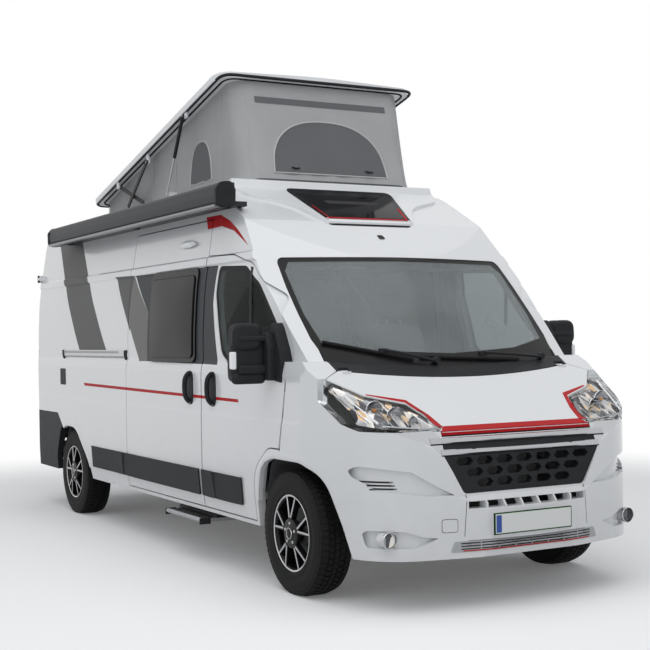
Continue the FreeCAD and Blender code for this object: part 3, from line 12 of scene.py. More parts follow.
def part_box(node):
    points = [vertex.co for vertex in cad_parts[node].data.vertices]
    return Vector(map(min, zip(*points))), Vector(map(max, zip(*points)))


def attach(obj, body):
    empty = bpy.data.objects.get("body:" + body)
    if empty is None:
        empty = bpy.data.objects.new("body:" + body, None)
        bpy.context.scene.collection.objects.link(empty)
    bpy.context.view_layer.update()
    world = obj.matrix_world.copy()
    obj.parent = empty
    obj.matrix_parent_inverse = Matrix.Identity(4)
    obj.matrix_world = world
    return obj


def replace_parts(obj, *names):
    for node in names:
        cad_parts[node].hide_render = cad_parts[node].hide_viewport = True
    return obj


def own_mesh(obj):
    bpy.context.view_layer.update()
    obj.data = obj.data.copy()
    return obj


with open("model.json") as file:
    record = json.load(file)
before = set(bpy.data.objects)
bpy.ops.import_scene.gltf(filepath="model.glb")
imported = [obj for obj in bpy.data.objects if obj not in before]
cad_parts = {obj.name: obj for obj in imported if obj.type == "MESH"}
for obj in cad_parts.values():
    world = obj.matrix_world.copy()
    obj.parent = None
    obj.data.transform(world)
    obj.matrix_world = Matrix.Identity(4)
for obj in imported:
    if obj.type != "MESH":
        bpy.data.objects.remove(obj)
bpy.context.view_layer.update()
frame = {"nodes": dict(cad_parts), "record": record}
BODY = "van_body"


# ---- finishes ---------------------------------------------------------------------------------------

class Wire:
    """A node's socket, joined to others with plain arithmetic."""

    def __init__(self, finish, socket):
        self.finish = finish
        self.socket = socket

    def combine(self, operation, *values):
        return self.finish.node("ShaderNodeMath", {"operation": operation}, *values)

    def __add__(self, other):
        return self.combine("ADD", self, other)

    def __sub__(self, other):
        return self.combine("SUBTRACT", self, other)

    def __mul__(self, other):
        return self.combine("MULTIPLY", self, other)

    def __rsub__(self, other):
        return self.combine("SUBTRACT", other, self)

    def __gt__(self, other):
        return self.combine("GREATER_THAN", self, other)

    __radd__ = __add__
    __rmul__ = __mul__

    def size(self):
        return self.combine("ABSOLUTE", self)

    def least(self, other):
        return self.combine("MINIMUM", self, other)

    def most(self, other):
        return self.combine("MAXIMUM", self, other)

    def wave(self, step):
        return self.combine("SINE", self * (2 * math.pi / step))

    def step(self, width):
        """0 below zero, 1 above it, over a soft width."""
        return self.finish.node("ShaderNodeMapRange", {"clamp": True}, self, -width, width, 0.0, 1.0)


class Finish:
    """One material and its node tree."""

    def __init__(self, name, color=(0.8, 0.8, 0.8), rough=0.5, **shader):
        self.material = bpy.data.materials.new(name)
        self.material.use_nodes = True
        self.tree = self.material.node_tree
        self.tree.nodes.clear()
        self.shader = self.tree.nodes.new("ShaderNodeBsdfPrincipled")
        self.out = self.tree.nodes.new("ShaderNodeOutputMaterial")
        self.surface = Wire(self, self.shader.outputs[0])
        self.join(self.out, "Surface", self.surface)
        self.set("Base Color", color)
        self.set("Roughness", rough)
        for key, value in shader.items():
            self.set(key.replace("_", " "), value)
        self.place_wires = None

    def join(self, node, key, value):
        socket = node.inputs[key]
        if isinstance(value, Wire):
            self.tree.links.new(value.socket, socket)
        elif socket.type == "RGBA":
            socket.default_value = (*value[:3], 1.0)
        else:
            socket.default_value = value

    def node(self, kind, settings, *values, out=0, **named):
        """Add a node: its settings first, then the values or wires of its sockets."""
        made = self.tree.nodes.new(kind)
        for key, value in settings.items():
            if key == "stops":
                ramp = made.color_ramp
                while len(ramp.elements) < len(value):
                    ramp.elements.new(0.5)
                for element, (spot, color) in zip(ramp.elements, value):
                    element.position = spot
                    element.color = (*color, 1.0)
            else:
                setattr(made, key, value)
        for index, value in enumerate(values):
            if value is not None:
                self.join(made, index, value)
        for key, value in named.items():
            self.join(made, key.replace("_", " "), value)
        return Wire(self, made.outputs[out])

    def set(self, key, value):
        self.join(self.shader, key, value)

    def place(self):
        """Object coordinates: the vector and its three numbers."""
        if self.place_wires is None:
            spot = self.node("ShaderNodeTexCoord", {}, out=3)
            split = self.tree.nodes.new("ShaderNodeSeparateXYZ")
            self.join(split, 0, spot)
            self.place_wires = [spot] + [Wire(self, split.outputs[i]) for i in range(3)]
        return self.place_wires

    def noise(self, scale, detail=3.0, stretch=None):
        spot = self.place()[0]
        if stretch:
            spot = self.node("ShaderNodeMapping", {}, spot, Scale=stretch)
        return self.node("ShaderNodeTexNoise", {}, Vector=spot, Scale=scale, Detail=detail)

    def mix(self, share, low, high):
        """One colour turning into another."""
        made = self.tree.nodes.new("ShaderNodeMix")
        made.data_type = "RGBA"
        self.join(made, 0, share)
        self.join(made, 6, low)
        self.join(made, 7, high)
        return Wire(self, made.outputs[2])

    def blend(self, share, low, high):
        """One number turning into another."""
        return share * (high - low) + low

    def cover(self, share, color, rough, **shader):
        """A second, opaque coat where the share is 1."""
        coat = self.node("ShaderNodeBsdfPrincipled", {}, Base_Color=color, Roughness=rough, **shader)
        self.surface = self.node("ShaderNodeMixShader", {}, share, self.surface, coat)
        self.join(self.out, "Surface", self.surface)

    def bump(self, height, depth, strength=1.0):
        self.set("Normal", self.node("ShaderNodeBump", {}, Height=height, Distance=depth, Strength=strength))

    def inside(self, first, second, corners, soft=0.001, inset=0.0):
        """1 within a convex outline in two coordinates, and further in than the inset."""
        middle = [sum(c[i] for c in corners) / len(corners) for i in (0, 1)]
        share = None
        for (a, b), (c, d) in zip(corners, corners[1:] + corners[:1]):
            u, v = -(d - b), c - a
            length = math.hypot(u, v)
            u, v = u / length, v / length
            base = -(u * a + v * b)
            if u * middle[0] + v * middle[1] + base < 0:
                u, v, base = -u, -v, -base
            edge = first * u + second * v + base
            share = edge if share is None else share.least(edge)
        return (share - inset if inset else share).step(soft)


WHITE = (0.80, 0.815, 0.83)
RED = (0.50, 0.010, 0.014)
CHARCOAL = (0.055, 0.06, 0.066)
TRIM_BLACK = (0.012, 0.012, 0.013)
BAND = (0.13, 0.13, 0.13)
BAND_LIGHT = (0.21, 0.205, 0.20)
GRIME = (0.36, 0.34, 0.31)
GRIME_TOP = 0.62  # height to which the paint is soiled
FOIL_REACH = 0.6  # foil lies only this far out from the middle plane

# Foil on the sides, as (y, z) outlines.
SIDE_FOIL = [
    (BAND, [(2.574, 2.345), (1.915, 2.304), (1.060, 1.384), (1.740, 1.391)]),
    (BAND, [(0.918, 1.959), (0.510, 1.949), (0.530, 1.530)]),
    (BAND_LIGHT, [(0.522, 1.949), (0.162, 1.660), (0.176, 1.313), (0.331, 1.311), (0.569, 1.601)]),
    (CHARCOAL, [(0.495, 1.947), (-0.820, 1.939), (-0.860, 1.640), (0.153, 1.652)]),
    (CHARCOAL, [(0.165, 1.682), (-0.850, 1.665), (-0.860, 1.303), (0.176, 1.313)]),
    (CHARCOAL, [(-0.800, 1.943), (-1.013, 1.940), (-0.986, 1.660), (-0.800, 1.615)]),
    (CHARCOAL, [(-0.800, 1.708), (-0.986, 1.705), (-1.080, 1.301), (-0.800, 1.306)]),
    (RED, [(1.582, 1.122), (-1.409, 1.095), (-1.418, 1.075), (1.567, 1.099)]),
    (RED, [(-0.713, 2.278), (-0.946, 2.274), (-0.986, 2.196), (-0.764, 2.192)]),
    (RED, [(-0.946, 2.274), (-1.105, 2.222), (-1.189, 2.150), (-0.986, 2.196)]),
    (RED, [(-1.105, 2.222), (-1.250, 2.151), (-1.439, 2.035), (-1.189, 2.150)]),
]


def shade(color, factor, lift=0.0):
    return tuple(c * factor + lift for c in color)


def white_paint(name, foil=()):
    """Clear-coated white with a faint cloud, grime low down, and foil in the given outlines."""
    finish = Finish(name, WHITE, 0.3, Coat_Weight=0.7, Coat_Roughness=0.06)
    x, y, z = finish.place()[1:]
    cloud = finish.noise(1.1, 3.0)
    color = finish.mix(cloud * 0.3, WHITE, shade(WHITE, 0.96))
    covered, tints = None, None
    for tint, corners in foil:
        share = finish.inside(y, z, corners) * (x.size() > FOIL_REACH)
        tints = finish.mix(share, tints or tint, tint)
        covered = share if covered is None else covered.most(share)
    if covered is not None:
        finish.cover(covered, tints, 0.45, Specular_IOR_Level=0.1)
    soiled = (GRIME_TOP - z).step(0.35) * finish.noise(11.0, 6.0) * 0.3
    finish.set("Base Color", finish.mix(soiled, color, GRIME))
    finish.set("Roughness", finish.blend(cloud, 0.26, 0.31) + soiled * 0.5)
    finish.bump(finish.noise(420.0, 2.0), 0.0004, 0.06)
    return finish


def plain_plastic(name, color, rough, grain=900.0, depth=0.0006):
    """A grained surface with slow clouding."""
    finish = Finish(name, color, rough, Specular_IOR_Level=0.12)
    cloud = finish.noise(14.0, 4.0)
    finish.set("Base Color", finish.mix(cloud, color, shade(color, 1.5, 0.004)))
    finish.set("Roughness", finish.blend(cloud, rough - 0.06, rough + 0.08))
    finish.bump(finish.noise(grain, 2.0), depth, 0.5)
    return finish


paint = white_paint("white_paint")
paint_sides = white_paint("white_paint_and_foil", SIDE_FOIL)
black_plastic = plain_plastic("grained_black_plastic", (0.018, 0.019, 0.021), 0.5)
grey_plastic = plain_plastic("grey_plastic", (0.10, 0.10, 0.105), 0.6)
silver_plastic = plain_plastic("silver_plastic", (0.38, 0.39, 0.40), 0.35)
gloss_black = Finish("gloss_black", (0.006, 0.006, 0.007), 0.16, Specular_IOR_Level=0.14)
chrome = Finish("chrome", (0.50, 0.51, 0.53), 0.10, Metallic=1.0)
bar_chrome = Finish("bar_chrome", (0.44, 0.45, 0.47), 0.14, Metallic=1.0)
moulding = plain_plastic("side_moulding", (0.022, 0.023, 0.025), 0.55)
dark_glass = Finish("dark_window", (0.008, 0.008, 0.010), 0.08, Specular_IOR_Level=0.12)
clear_glass = Finish("clear_window", (0.75, 0.8, 0.79), 0.02, Transmission_Weight=1.0, IOR=1.12)
screen_glass = Finish("windscreen", (0.72, 0.77, 0.76), 0.02, Transmission_Weight=1.0, IOR=1.15)
cab_glass = Finish("cab_window", (0.30, 0.34, 0.34), 0.02, Transmission_Weight=1.0, IOR=1.12)
lens_glass = Finish("lamp_lens", (0.93, 0.95, 0.96), 0.02, Transmission_Weight=1.0, IOR=1.2)
rubber = plain_plastic("black_rubber", (0.012, 0.012, 0.013), 0.65, 500.0)
dark_steel = plain_plastic("black_painted_steel", (0.022, 0.022, 0.024), 0.45, 200.0)
bare_steel = Finish("brushed_steel", (0.5, 0.5, 0.51), 0.35, Metallic=1.0)
cast_iron = plain_plastic("cast_iron", (0.12, 0.12, 0.12), 0.7, 300.0, 0.001)
lining = plain_plastic("cabin_lining", (0.28, 0.28, 0.28), 0.8, 250.0)
grp_white = Finish("moulded_white", WHITE, 0.28, Coat_Weight=0.4)
awning_grey = Finish("anodised_grey", (0.030, 0.032, 0.037), 0.45, Metallic=0.1, Specular_IOR_Level=0.2)
red_lens = Finish("red_lens", (0.45, 0.008, 0.01), 0.1, Coat_Weight=1.0)
seat_cloth = plain_plastic("seat_cloth", (0.05, 0.05, 0.055), 0.9, 700.0, 0.002)
red_foil = Finish("red_foil", RED, 0.4, Specular_IOR_Level=0.1)
plate_white = Finish("blank_plate", (0.78, 0.79, 0.78), 0.4)
plate_green = Finish("plate_edge", (0.10, 0.30, 0.10), 0.4)
plate_blue = Finish("plate_band", (0.02, 0.07, 0.35), 0.4)
lamp_shell = Finish("lamp_shell", (0.50, 0.49, 0.47), 0.30, Metallic=0.7)
light_guide = Finish("light_guide", (0.92, 0.94, 0.96), 0.1, Coat_Weight=1.0)
amber_glass = Finish("amber_lens", (0.70, 0.26, 0.03), 0.08, Coat_Weight=1.0)
mirror_glass = Finish("mirror_glass", (0.75, 0.77, 0.79), 0.02, Metallic=1.0)
shadow_gap = Finish("shadow_gap", (0.008, 0.008, 0.008), 0.8)
awning_light = Finish("awning_rail", (0.26, 0.27, 0.28), 0.4, Metallic=0.5)

# The windscreen: a painted reflection of a cloudy sky in the glass, and a black border round the clear area, as an
# (x, z) outline.
SCREEN_CLEAR = [(-0.795, 1.440), (-0.5, 1.385), (0.0, 1.360), (0.5, 1.385), (0.795, 1.440), (0.818, 1.60),
                (0.806, 1.87), (0.760, 1.928), (0.0, 1.938), (-0.760, 1.928), (-0.806, 1.87), (-0.818, 1.60)]
PAINTED_SKY_REFLECTION = (0.30, 0.33, 0.34)
x, _, z = screen_glass.place()[1:]
border = 1.0 - screen_glass.inside(x, z, SCREEN_CLEAR)
# Painted reflection: patches of grey sky mixed over the clear glass.
screen_glass.cover(screen_glass.noise(1.9, 4.0, (1.0, 1.0, 1.6)) * 0.5 + 0.16, PAINTED_SKY_REFLECTION, 0.12, Specular_IOR_Level=0.3)
screen_glass.cover(border, TRIM_BLACK, 0.3, Specular_IOR_Level=0.12)

# The cab windows: a black border inside the glass's (y, z) outline.
CAB_WINDOW = [(-1.023, 1.935), (-1.433, 1.915), (-1.633, 1.800), (-1.883, 1.490), (-1.918, 1.370), (-1.273, 1.283),
              (-1.123, 1.373), (-1.013, 1.750)]
CAB_BORDER = 0.028
_, y, z = cab_glass.place()[1:]
border = 1.0 - cab_glass.inside(y, z, CAB_WINDOW, inset=CAB_BORDER)
cab_glass.cover(border, TRIM_BLACK, 0.5, Specular_IOR_Level=0.1)

# The headlamps' reflector: facets coloured with painted reflections of dark, bright and amber things.
PAINTED_FACET_REFLECTIONS = [(0.0, (0.02, 0.02, 0.025)), (0.35, (0.16, 0.16, 0.17)), (0.55, (0.60, 0.60, 0.61)),
                (0.75, (0.85, 0.80, 0.72)), (0.86, (0.80, 0.48, 0.20)), (1.0, (0.90, 0.90, 0.90))]
facet = lamp_shell.node("ShaderNodeMapping", {}, lamp_shell.place()[0], Scale=(1.0, 0.4, 0.55))
facet = lamp_shell.node("ShaderNodeTexVoronoi", {}, Vector=facet, Scale=30.0, out=1)
facet = lamp_shell.node("ShaderNodeSeparateColor", {}, facet)
# The reflector's base colour is painted reflections, scattered over the facets.
lamp_shell.set("Base Color", lamp_shell.node("ShaderNodeValToRGB", {"stops": PAINTED_FACET_REFLECTIONS}, facet))


def woven(name, color, thread, strength):
    """Cloth with fine threads both ways and slow clouding."""
    finish = Finish(name, color, 0.85)
    x, y, z = finish.place()[1:]
    threads = (x + y).wave(thread) * z.wave(thread)
    cloud = finish.noise(3.5, 5.0)
    finish.set("Base Color", finish.mix(cloud, shade(color, 0.86), shade(color, 1.1)))
    finish.set("Roughness", finish.blend(cloud, 0.78, 0.95))
    finish.bump(threads + finish.noise(60.0, 3.0) * 2.0, 0.0008, strength)
    return finish


tent_cloth = woven("tent_cloth", (0.45, 0.455, 0.46), 0.004, 0.35)
tent_mesh_dark = woven("tent_mesh", (0.165, 0.168, 0.176), 0.0022, 0.6)
tent_piping = Finish("tent_piping", (0.55, 0.56, 0.56), 0.7)
black_alloy = Finish("gloss_black_alloy", (0.008, 0.008, 0.009), 0.25, Specular_IOR_Level=0.2)
cut_alloy = Finish("machined_alloy", (0.50, 0.50, 0.51), 0.25, Metallic=1.0)
tyre_rubber = plain_plastic("tyre_rubber", (0.009, 0.009, 0.0095), 0.62, 260.0, 0.0012)

NODE_FINISH = {
    "white_paint": paint, "black_plastic": black_plastic, "grey_plastic": grey_plastic, "chrome": chrome,
    "lamp_clear": lens_glass, "lamp_red": red_lens, "dark_glass": dark_glass, "screen_glass": clear_glass,
    "tyre": tyre_rubber, "alloy": black_alloy, "steel_black": dark_steel, "steel_bare": bare_steel,
    "iron": cast_iron, "tent_fabric": seat_cloth, "lining": lining, "seat_fabric": seat_cloth,
    "awning_grey": awning_grey, "grp_white": grp_white,
}
NODE_LOOKS = {"windscreen": screen_glass, "cab_glass_right": cab_glass, "cab_glass_left": cab_glass}
SIDE_NODES = ("side_right", "side_left", "sliding_door", "cab_door_right", "cab_door_left", "roof_shell")


def dress(node, finish):
    """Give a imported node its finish."""
    slots = frame["nodes"][node].data.materials
    slots.clear()
    slots.append(finish.material)


for entry in frame["record"]["subparts"]:
    finish = NODE_FINISH[entry["material_slot"]]
    dress(entry["node"], paint_sides if entry["node"] in SIDE_NODES else NODE_LOOKS.get(entry["node"], finish))

# ---- shapes -----------------------------------------------------------------------------------------

# A look: the way it goes, the two axes of its outlines, and its depth axis.
LOOKS = {
    "right": (Vector((1, 0, 0)), (1, 2), 0),
    "left": (Vector((-1, 0, 0)), (1, 2), 0),
    "front": (Vector((0, 1, 0)), (0, 2), 1),
    "rear": (Vector((0, -1, 0)), (0, 2), 1),
    "top": (Vector((0, 0, -1)), (0, 1), 2),
}
SIDE_NAMES = ((-1, "right"), (1, "left"))
OUTSIDE = 4.0  # lines of sight start this far out
SAME_POINT = 1e-6  # points nearer than this are one
BEVEL_ANGLE = math.radians(35)
AXIS_GAP = 0.002  # a turned profile that comes nearer its axis than this is closed there
skins = {}


def skin(nodes):
    """A tree of the surfaces of some body panels, to lay pieces on."""
    if nodes not in skins:
        verts, faces = [], []
        for node in nodes:
            mesh = frame["nodes"][node].data
            base = len(verts)
            verts += [v.co.copy() for v in mesh.vertices]
            faces += [[base + i for i in p.vertices] for p in mesh.polygons]
        skins[nodes] = BVHTree.FromPolygons(verts, faces)
    return skins[nodes]


def show(data, name):
    """A new object in the scene."""
    holder = bpy.data.objects.new(name, data)
    bpy.context.scene.collection.objects.link(holder)
    return holder


def make(name, work, finish, body, bevel=0.0, angle=40, steps=2):
    """Turn a finished bmesh into a piece that rides on a body.

    Edges sharper than the angle stay sharp, and a bevel eases the corners of a piece."""
    bmesh.ops.remove_doubles(work, verts=work.verts, dist=SAME_POINT)
    bmesh.ops.recalc_face_normals(work, faces=work.faces)
    mesh = bpy.data.meshes.new(name)
    work.to_mesh(mesh)
    work.free()
    mesh.materials.append(finish.material)
    piece = show(mesh, name)
    mesh.shade_smooth()
    if bevel:
        rounding = piece.modifiers.new("rounding", "BEVEL")
        rounding.width = bevel
        rounding.segments = steps
        rounding.limit_method = "ANGLE"
        rounding.angle_limit = BEVEL_ANGLE
    mesh.set_sharp_from_angle(angle=math.radians(angle))
    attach(piece, body)
    return piece


def rounded(corners, radius, steps=4):
    """An outline with its corners eased."""
    eased = []
    count = len(corners)
    for i, corner in enumerate(corners):
        here = Vector(corner)
        back, ahead = Vector(corners[i - 1]) - here, Vector(corners[(i + 1) % count]) - here
        run = min(radius / math.tan(max(back.angle(ahead) / 2, 0.05)), back.length * 0.48, ahead.length * 0.48)
        first, last = here + back.normalized() * run, here + ahead.normalized() * run
        for step in range(steps + 1):
            t = step / steps
            eased.append(tuple(first * (1 - t) ** 2 + here * 2 * t * (1 - t) + last * t * t))
    return eased


def oblong(left, right, low, high):
    """The outline of a rectangle."""
    return [(left, low), (right, low), (right, high), (left, high)]


def to_side(corners, side):
    """An outline drawn for the left, or the same on the right."""
    return [(u * side, v) for u, v in corners]


def spot(look, u, v, depth=0.0):
    """A point from its two coordinates in a look; depth is the third."""
    axes = LOOKS[look][1]
    place = [depth, depth, depth]
    place[axes[0]], place[axes[1]] = u, v
    return Vector(place)


def meet(look, u, v, nodes):
    """Where a look's line of sight meets the surface of some nodes, or None."""
    inward = LOOKS[look][0]
    return skin(nodes).ray_cast(spot(look, u, v) - inward * OUTSIDE, inward)[0]


def pull(work, faces, move):
    """Extrude faces and move each new point."""
    for item in bmesh.ops.extrude_face_region(work, geom=faces)["geom"]:
        if isinstance(item, bmesh.types.BMVert):
            move(item)


def patch(name, look, corners, nodes, thick, finish, body, lift=0.0, grid=0.04, bevel=0.0, dome=0.0):
    """A sheet on the surface of nodes within an outline. It stands lift proud, and dome more in its middle."""
    inward, axes, deep = LOOKS[look]
    work = bmesh.new()
    work.faces.new([work.verts.new(spot(look, u, v)) for u, v in corners])
    middle = [sum(c[i] for c in corners) / len(corners) for i in (0, 1)]
    for i in (0, 1):
        low, high = min(c[i] for c in corners), max(c[i] for c in corners)
        count = max(1, math.ceil((high - low) / grid))
        normal = Vector((0, 0, 0))
        normal[axes[i]] = 1
        for step in range(1, count):
            at = Vector((0, 0, 0))
            at[axes[i]] = low + (high - low) * step / count
            bmesh.ops.bisect_plane(work, geom=work.verts[:] + work.edges[:] + work.faces[:], plane_co=at,
                                   plane_no=normal)
    missed, laid = [], []
    half = [max(abs(c[i] - middle[i]) for c in corners) for i in (0, 1)]
    for vert in work.verts:
        u, v = (vert.co[axis] for axis in axes)
        hit = meet(look, u, v, nodes)
        swell = 1 - max(abs(u - middle[0]) / half[0], abs(v - middle[1]) / half[1]) ** 2
        if hit is None:
            missed.append(vert)
            continue
        vert.co = hit - inward * (lift + dome * swell)
        laid.append(vert.co.copy())
    for vert in missed:
        near = min(laid, key=lambda place: sum((place[axis] - vert.co[axis]) ** 2 for axis in axes))
        vert.co[deep] = near[deep]

    def sink(vert):
        vert.co += inward * thick

    pull(work, work.faces[:], sink)
    return make(name, work, finish, body, bevel)


def slab(name, look, corners, near, far, finish, body, bevel=0.004, steps=2):
    """A prism between two depths along a look."""
    work = bmesh.new()
    deep = LOOKS[look][2]
    face = work.faces.new([work.verts.new(spot(look, u, v, near)) for u, v in corners])

    def stretch(vert):
        vert.co[deep] = far

    pull(work, [face], stretch)
    return make(name, work, finish, body, bevel, steps=steps)


def add_box(work, low, high):
    """Add a box to a mesh that is being made."""
    fresh = bmesh.ops.create_cube(work, size=1)["verts"]
    for vert in fresh:
        vert.co = Vector([low[i] if vert.co[i] < 0 else high[i] for i in range(3)])
    return fresh


def brick(name, low, high, finish, body, bevel=0.004, steps=2):
    """A box with eased edges."""
    work = bmesh.new()
    add_box(work, low, high)
    return make(name, work, finish, body, bevel, steps=steps)


def turned(name, profile, centre, finish, body, out=1, axis=0, steps=64, angle=40):
    """A ring or a disc turned about an axis through a centre. Profile points are (along, radius)."""
    work = bmesh.new()
    if min(profile[0][1], profile[-1][1]) > AXIS_GAP:
        profile = profile + profile[:1]
    others = [i for i in range(3) if i != axis]
    rings = []
    for step in range(steps):
        turn = 2 * math.pi * step / steps
        ring = []
        for along, radius in profile:
            place = Vector(centre)
            place[axis] += along * out
            place[others[0]] += radius * math.cos(turn)
            place[others[1]] += radius * math.sin(turn)
            ring.append(work.verts.new(place))
        rings.append(ring)
    for a, b in zip(rings, rings[1:] + rings[:1]):
        for i in range(len(profile) - 1):
            work.faces.new([a[i], a[i + 1], b[i + 1], b[i]])
    bmesh.ops.remove_doubles(work, verts=work.verts, dist=1e-5)
    bmesh.ops.holes_fill(work, edges=[e for e in work.edges if e.is_boundary], sides=steps + 1)
    return make(name, work, finish, body, angle=angle)


def settled(holder):
    """The evaluated mesh of a helper object, which is removed, as a mesh to work on."""
    scene_state = bpy.context.evaluated_depsgraph_get()
    mesh = bpy.data.meshes.new_from_object(holder.evaluated_get(scene_state))
    bpy.data.objects.remove(holder)
    work = bmesh.new()
    work.from_mesh(mesh)
    return work


def tube(name, points, radius, finish, body, smooth=True, sides=6):
    """A round bar along points."""
    curve = bpy.data.curves.new(name, "CURVE")
    curve.dimensions = "3D"
    curve.bevel_depth = radius
    curve.bevel_resolution = sides // 2
    curve.use_fill_caps = True
    spline = curve.splines.new("NURBS" if smooth else "POLY")
    spline.points.add(len(points) - 1)
    for point, place in zip(spline.points, points):
        point.co = (*place, 1)
    if smooth:
        spline.order_u = 3
        spline.use_endpoint_u = True
    return make(name, settled(show(curve, name)), finish, body)


def repeat_tree(name, kind):
    """A node tree that repeats a shape round an axis or along a line."""
    tree = bpy.data.node_groups.new(name, "GeometryNodeTree")
    tree.interface.new_socket("Geometry", in_out="OUTPUT", socket_type="NodeSocketGeometry")
    keys = {}
    for label, holds in (("Geometry", "Geometry"), ("Count", "Int"), ("Step", "Vector"), ("Finish", "Material")):
        socket = tree.interface.new_socket(label, in_out="INPUT", socket_type="NodeSocket" + holds)
        keys[label] = socket.identifier
    into = tree.nodes.new("NodeGroupInput")
    out = tree.nodes.new("NodeGroupOutput")
    index = tree.nodes.new("GeometryNodeInputIndex")
    step = tree.nodes.new("ShaderNodeVectorMath")
    step.operation = "SCALE"
    points = tree.nodes.new("GeometryNodePoints")
    shape = tree.nodes.new("GeometryNodeGeometryToInstance")
    spread = tree.nodes.new("GeometryNodeInstanceOnPoints")
    real = tree.nodes.new("GeometryNodeRealizeInstances")
    finished = tree.nodes.new("GeometryNodeSetMaterial")
    link = tree.links.new
    link(into.outputs["Step"], step.inputs[0])
    link(index.outputs[0], step.inputs["Scale"])
    link(into.outputs["Count"], points.inputs["Count"])
    if kind == "line":
        link(step.outputs[0], points.inputs["Position"])
    else:
        link(step.outputs[0], spread.inputs["Rotation"])
    link(into.outputs["Geometry"], shape.inputs[0])
    link(points.outputs[0], spread.inputs["Points"])
    link(shape.outputs[0], spread.inputs["Instance"])
    link(spread.outputs[0], real.inputs[0])
    link(real.outputs[0], finished.inputs["Geometry"])
    link(into.outputs["Finish"], finished.inputs["Material"])
    link(finished.outputs[0], out.inputs[0])
    return tree, keys


TREES = {"round": repeat_tree("repeat_round", "round"), "line": repeat_tree("repeat_line", "line")}


def repeated(name, work, kind, count, step, finish, body, shift, mirror=False, bevel=0.0):
    """Repeat a shape round the X axis, or along a line, then move the whole into place."""
    mesh = bpy.data.meshes.new(name)
    bmesh.ops.recalc_face_normals(work, faces=work.faces)
    work.to_mesh(mesh)
    work.free()
    holder = show(mesh, name)
    tree, keys = TREES[kind]
    nodes = holder.modifiers.new("repeat", "NODES")
    nodes.node_group = tree
    nodes[keys["Count"]] = count
    nodes[keys["Step"]] = step
    nodes[keys["Finish"]] = finish.material
    work = settled(holder)
    for vert in work.verts:
        if mirror:
            vert.co.x = -vert.co.x
        vert.co += Vector(shift)
    return make(name, work, finish, body, bevel)


# ---- wheels -----------------------------------------------------------------------------------------

HUB = 0.352  # height of the wheels' centres
WHEELS = {"front_right": (-0.885, -2.051), "front_left": (0.885, -2.051),
          "rear_right": (-0.870, 1.984), "rear_left": (0.870, 1.984)}
TREAD_PITCHES = 60
SPOKES = 5

# Profiles are (outwards along the axle, radius).
CARCASS = [(0.094, 0.2088), (0.099, 0.216), (0.1005, 0.226), (0.105, 0.230), (0.1065, 0.240), (0.1035, 0.246),
           (0.1065, 0.262), (0.108, 0.284), (0.1065, 0.306), (0.103, 0.322), (0.1035, 0.327), (0.100, 0.336),
           (0.094, 0.3455), (0.088, 0.350), (0.080, 0.3535), (0.053, 0.3545)]
BARREL = [(0.0965, 0.2088), (0.0995, 0.2195), (0.1025, 0.2165), (0.095, 0.205), (0.080, 0.199), (0.02, 0.190),
          (-0.07, 0.190), (-0.090, 0.199), (-0.094, 0.2088)]
RIM_LIP = [(0.0990, 0.2193), (0.1030, 0.2198), (0.1048, 0.2165), (0.1015, 0.2095), (0.0985, 0.2100)]
HUB_SHELL = [(0.055, 0.001), (0.055, 0.066), (0.088, 0.088), (0.106, 0.084), (0.1115, 0.070), (0.108, 0.050),
             (0.112, 0.040), (0.112, 0.001)]
HUB_CAP = [(0.108, 0.034), (0.1165, 0.033), (0.1185, 0.030), (0.1175, 0.027), (0.1195, 0.018), (0.1200, 0.001)]
HUB_CAP_RING = [(0.1150, 0.0335), (0.1190, 0.0325), (0.1195, 0.0300), (0.1180, 0.0285)]
BRAKE_DISC = [(-0.006, 0.070), (-0.006, 0.148), (0.006, 0.150), (0.008, 0.146), (0.008, 0.085), (0.030, 0.080),
              (0.034, 0.074), (0.034, 0.030)]

# One arm of a spoke as (across, radius): its black body, and the bright face on it.
ARM = [(-0.004, 0.082), (0.0165, 0.074), (0.060, 0.2015), (0.0395, 0.2085)]
ARM_FACE = [(0.003, 0.094), (0.012, 0.087), (0.0535, 0.2035), (0.0445, 0.207)]

# Tread blocks of one pitch: from, to, and shift round the tyre in pitches.
TREAD_BLOCKS = ((-0.014, 0.014, 0.0), (0.0205, 0.0485, 0.5), (-0.0485, -0.0205, 0.5), (0.055, 0.0985, 0.15),
                (-0.0985, -0.055, 0.15))
TREAD_FOOT, TREAD_TOP = 0.340, 0.3612


def tread_pitch():
    """One pitch of the tread, at the top of the wheel."""
    work = bmesh.new()
    for low, high, shift in TREAD_BLOCKS:
        central = abs(low + high) < 0.001
        length = 0.0375 if central else 0.031
        fresh = add_box(work, (low, -length / 2, TREAD_FOOT), (high, length / 2, TREAD_TOP))
        for vert in fresh:
            if abs(vert.co.x) > 0.09:  # the shoulder falls away
                vert.co.z -= 0.0125
            if vert.co.z > 0.35:  # blocks taper
                vert.co.y *= 0.92
            if not central:  # and slant
                vert.co.y += vert.co.x * (0.22 if shift == 0.5 else 0.1)
        turn = Matrix.Rotation(shift * 2 * math.pi / TREAD_PITCHES, 4, "X")
        for vert in fresh:
            vert.co = turn @ vert.co
    return work


def spoke(arm, front, thick, flare):
    """One Y spoke at the top of the wheel. Its back is wider than its front by the flare."""
    work = bmesh.new()
    for side in (1, -1):
        rows = []
        for deep in (0, 1):
            ring = []
            for across, radial in arm:
                along = front - (radial - 0.05) * 0.075 - deep * thick
                ring.append(work.verts.new((along, across * side * (1.0 + flare * deep), radial)))
            rows.append(ring)
        work.faces.new(rows[0])
        work.faces.new(rows[1][::-1])
        for i in range(4):
            work.faces.new([rows[0][i], rows[0][(i + 1) % 4], rows[1][(i + 1) % 4], rows[1][i]])
    return work


def wheel_bolt(radius=0.0105, low=0.098, high=0.1145, height=0.058, sides=6):
    """A bolt's head: a short rod along X, standing off the axis by its height."""
    work = bmesh.new()
    place = Matrix.Translation(((low + high) / 2, 0, height)) @ Matrix.Rotation(math.radians(90), 4, "Y")
    bmesh.ops.create_cone(work, cap_ends=True, segments=sides, radius1=radius, radius2=radius * 0.9, depth=high - low,
                          matrix=place)
    return work


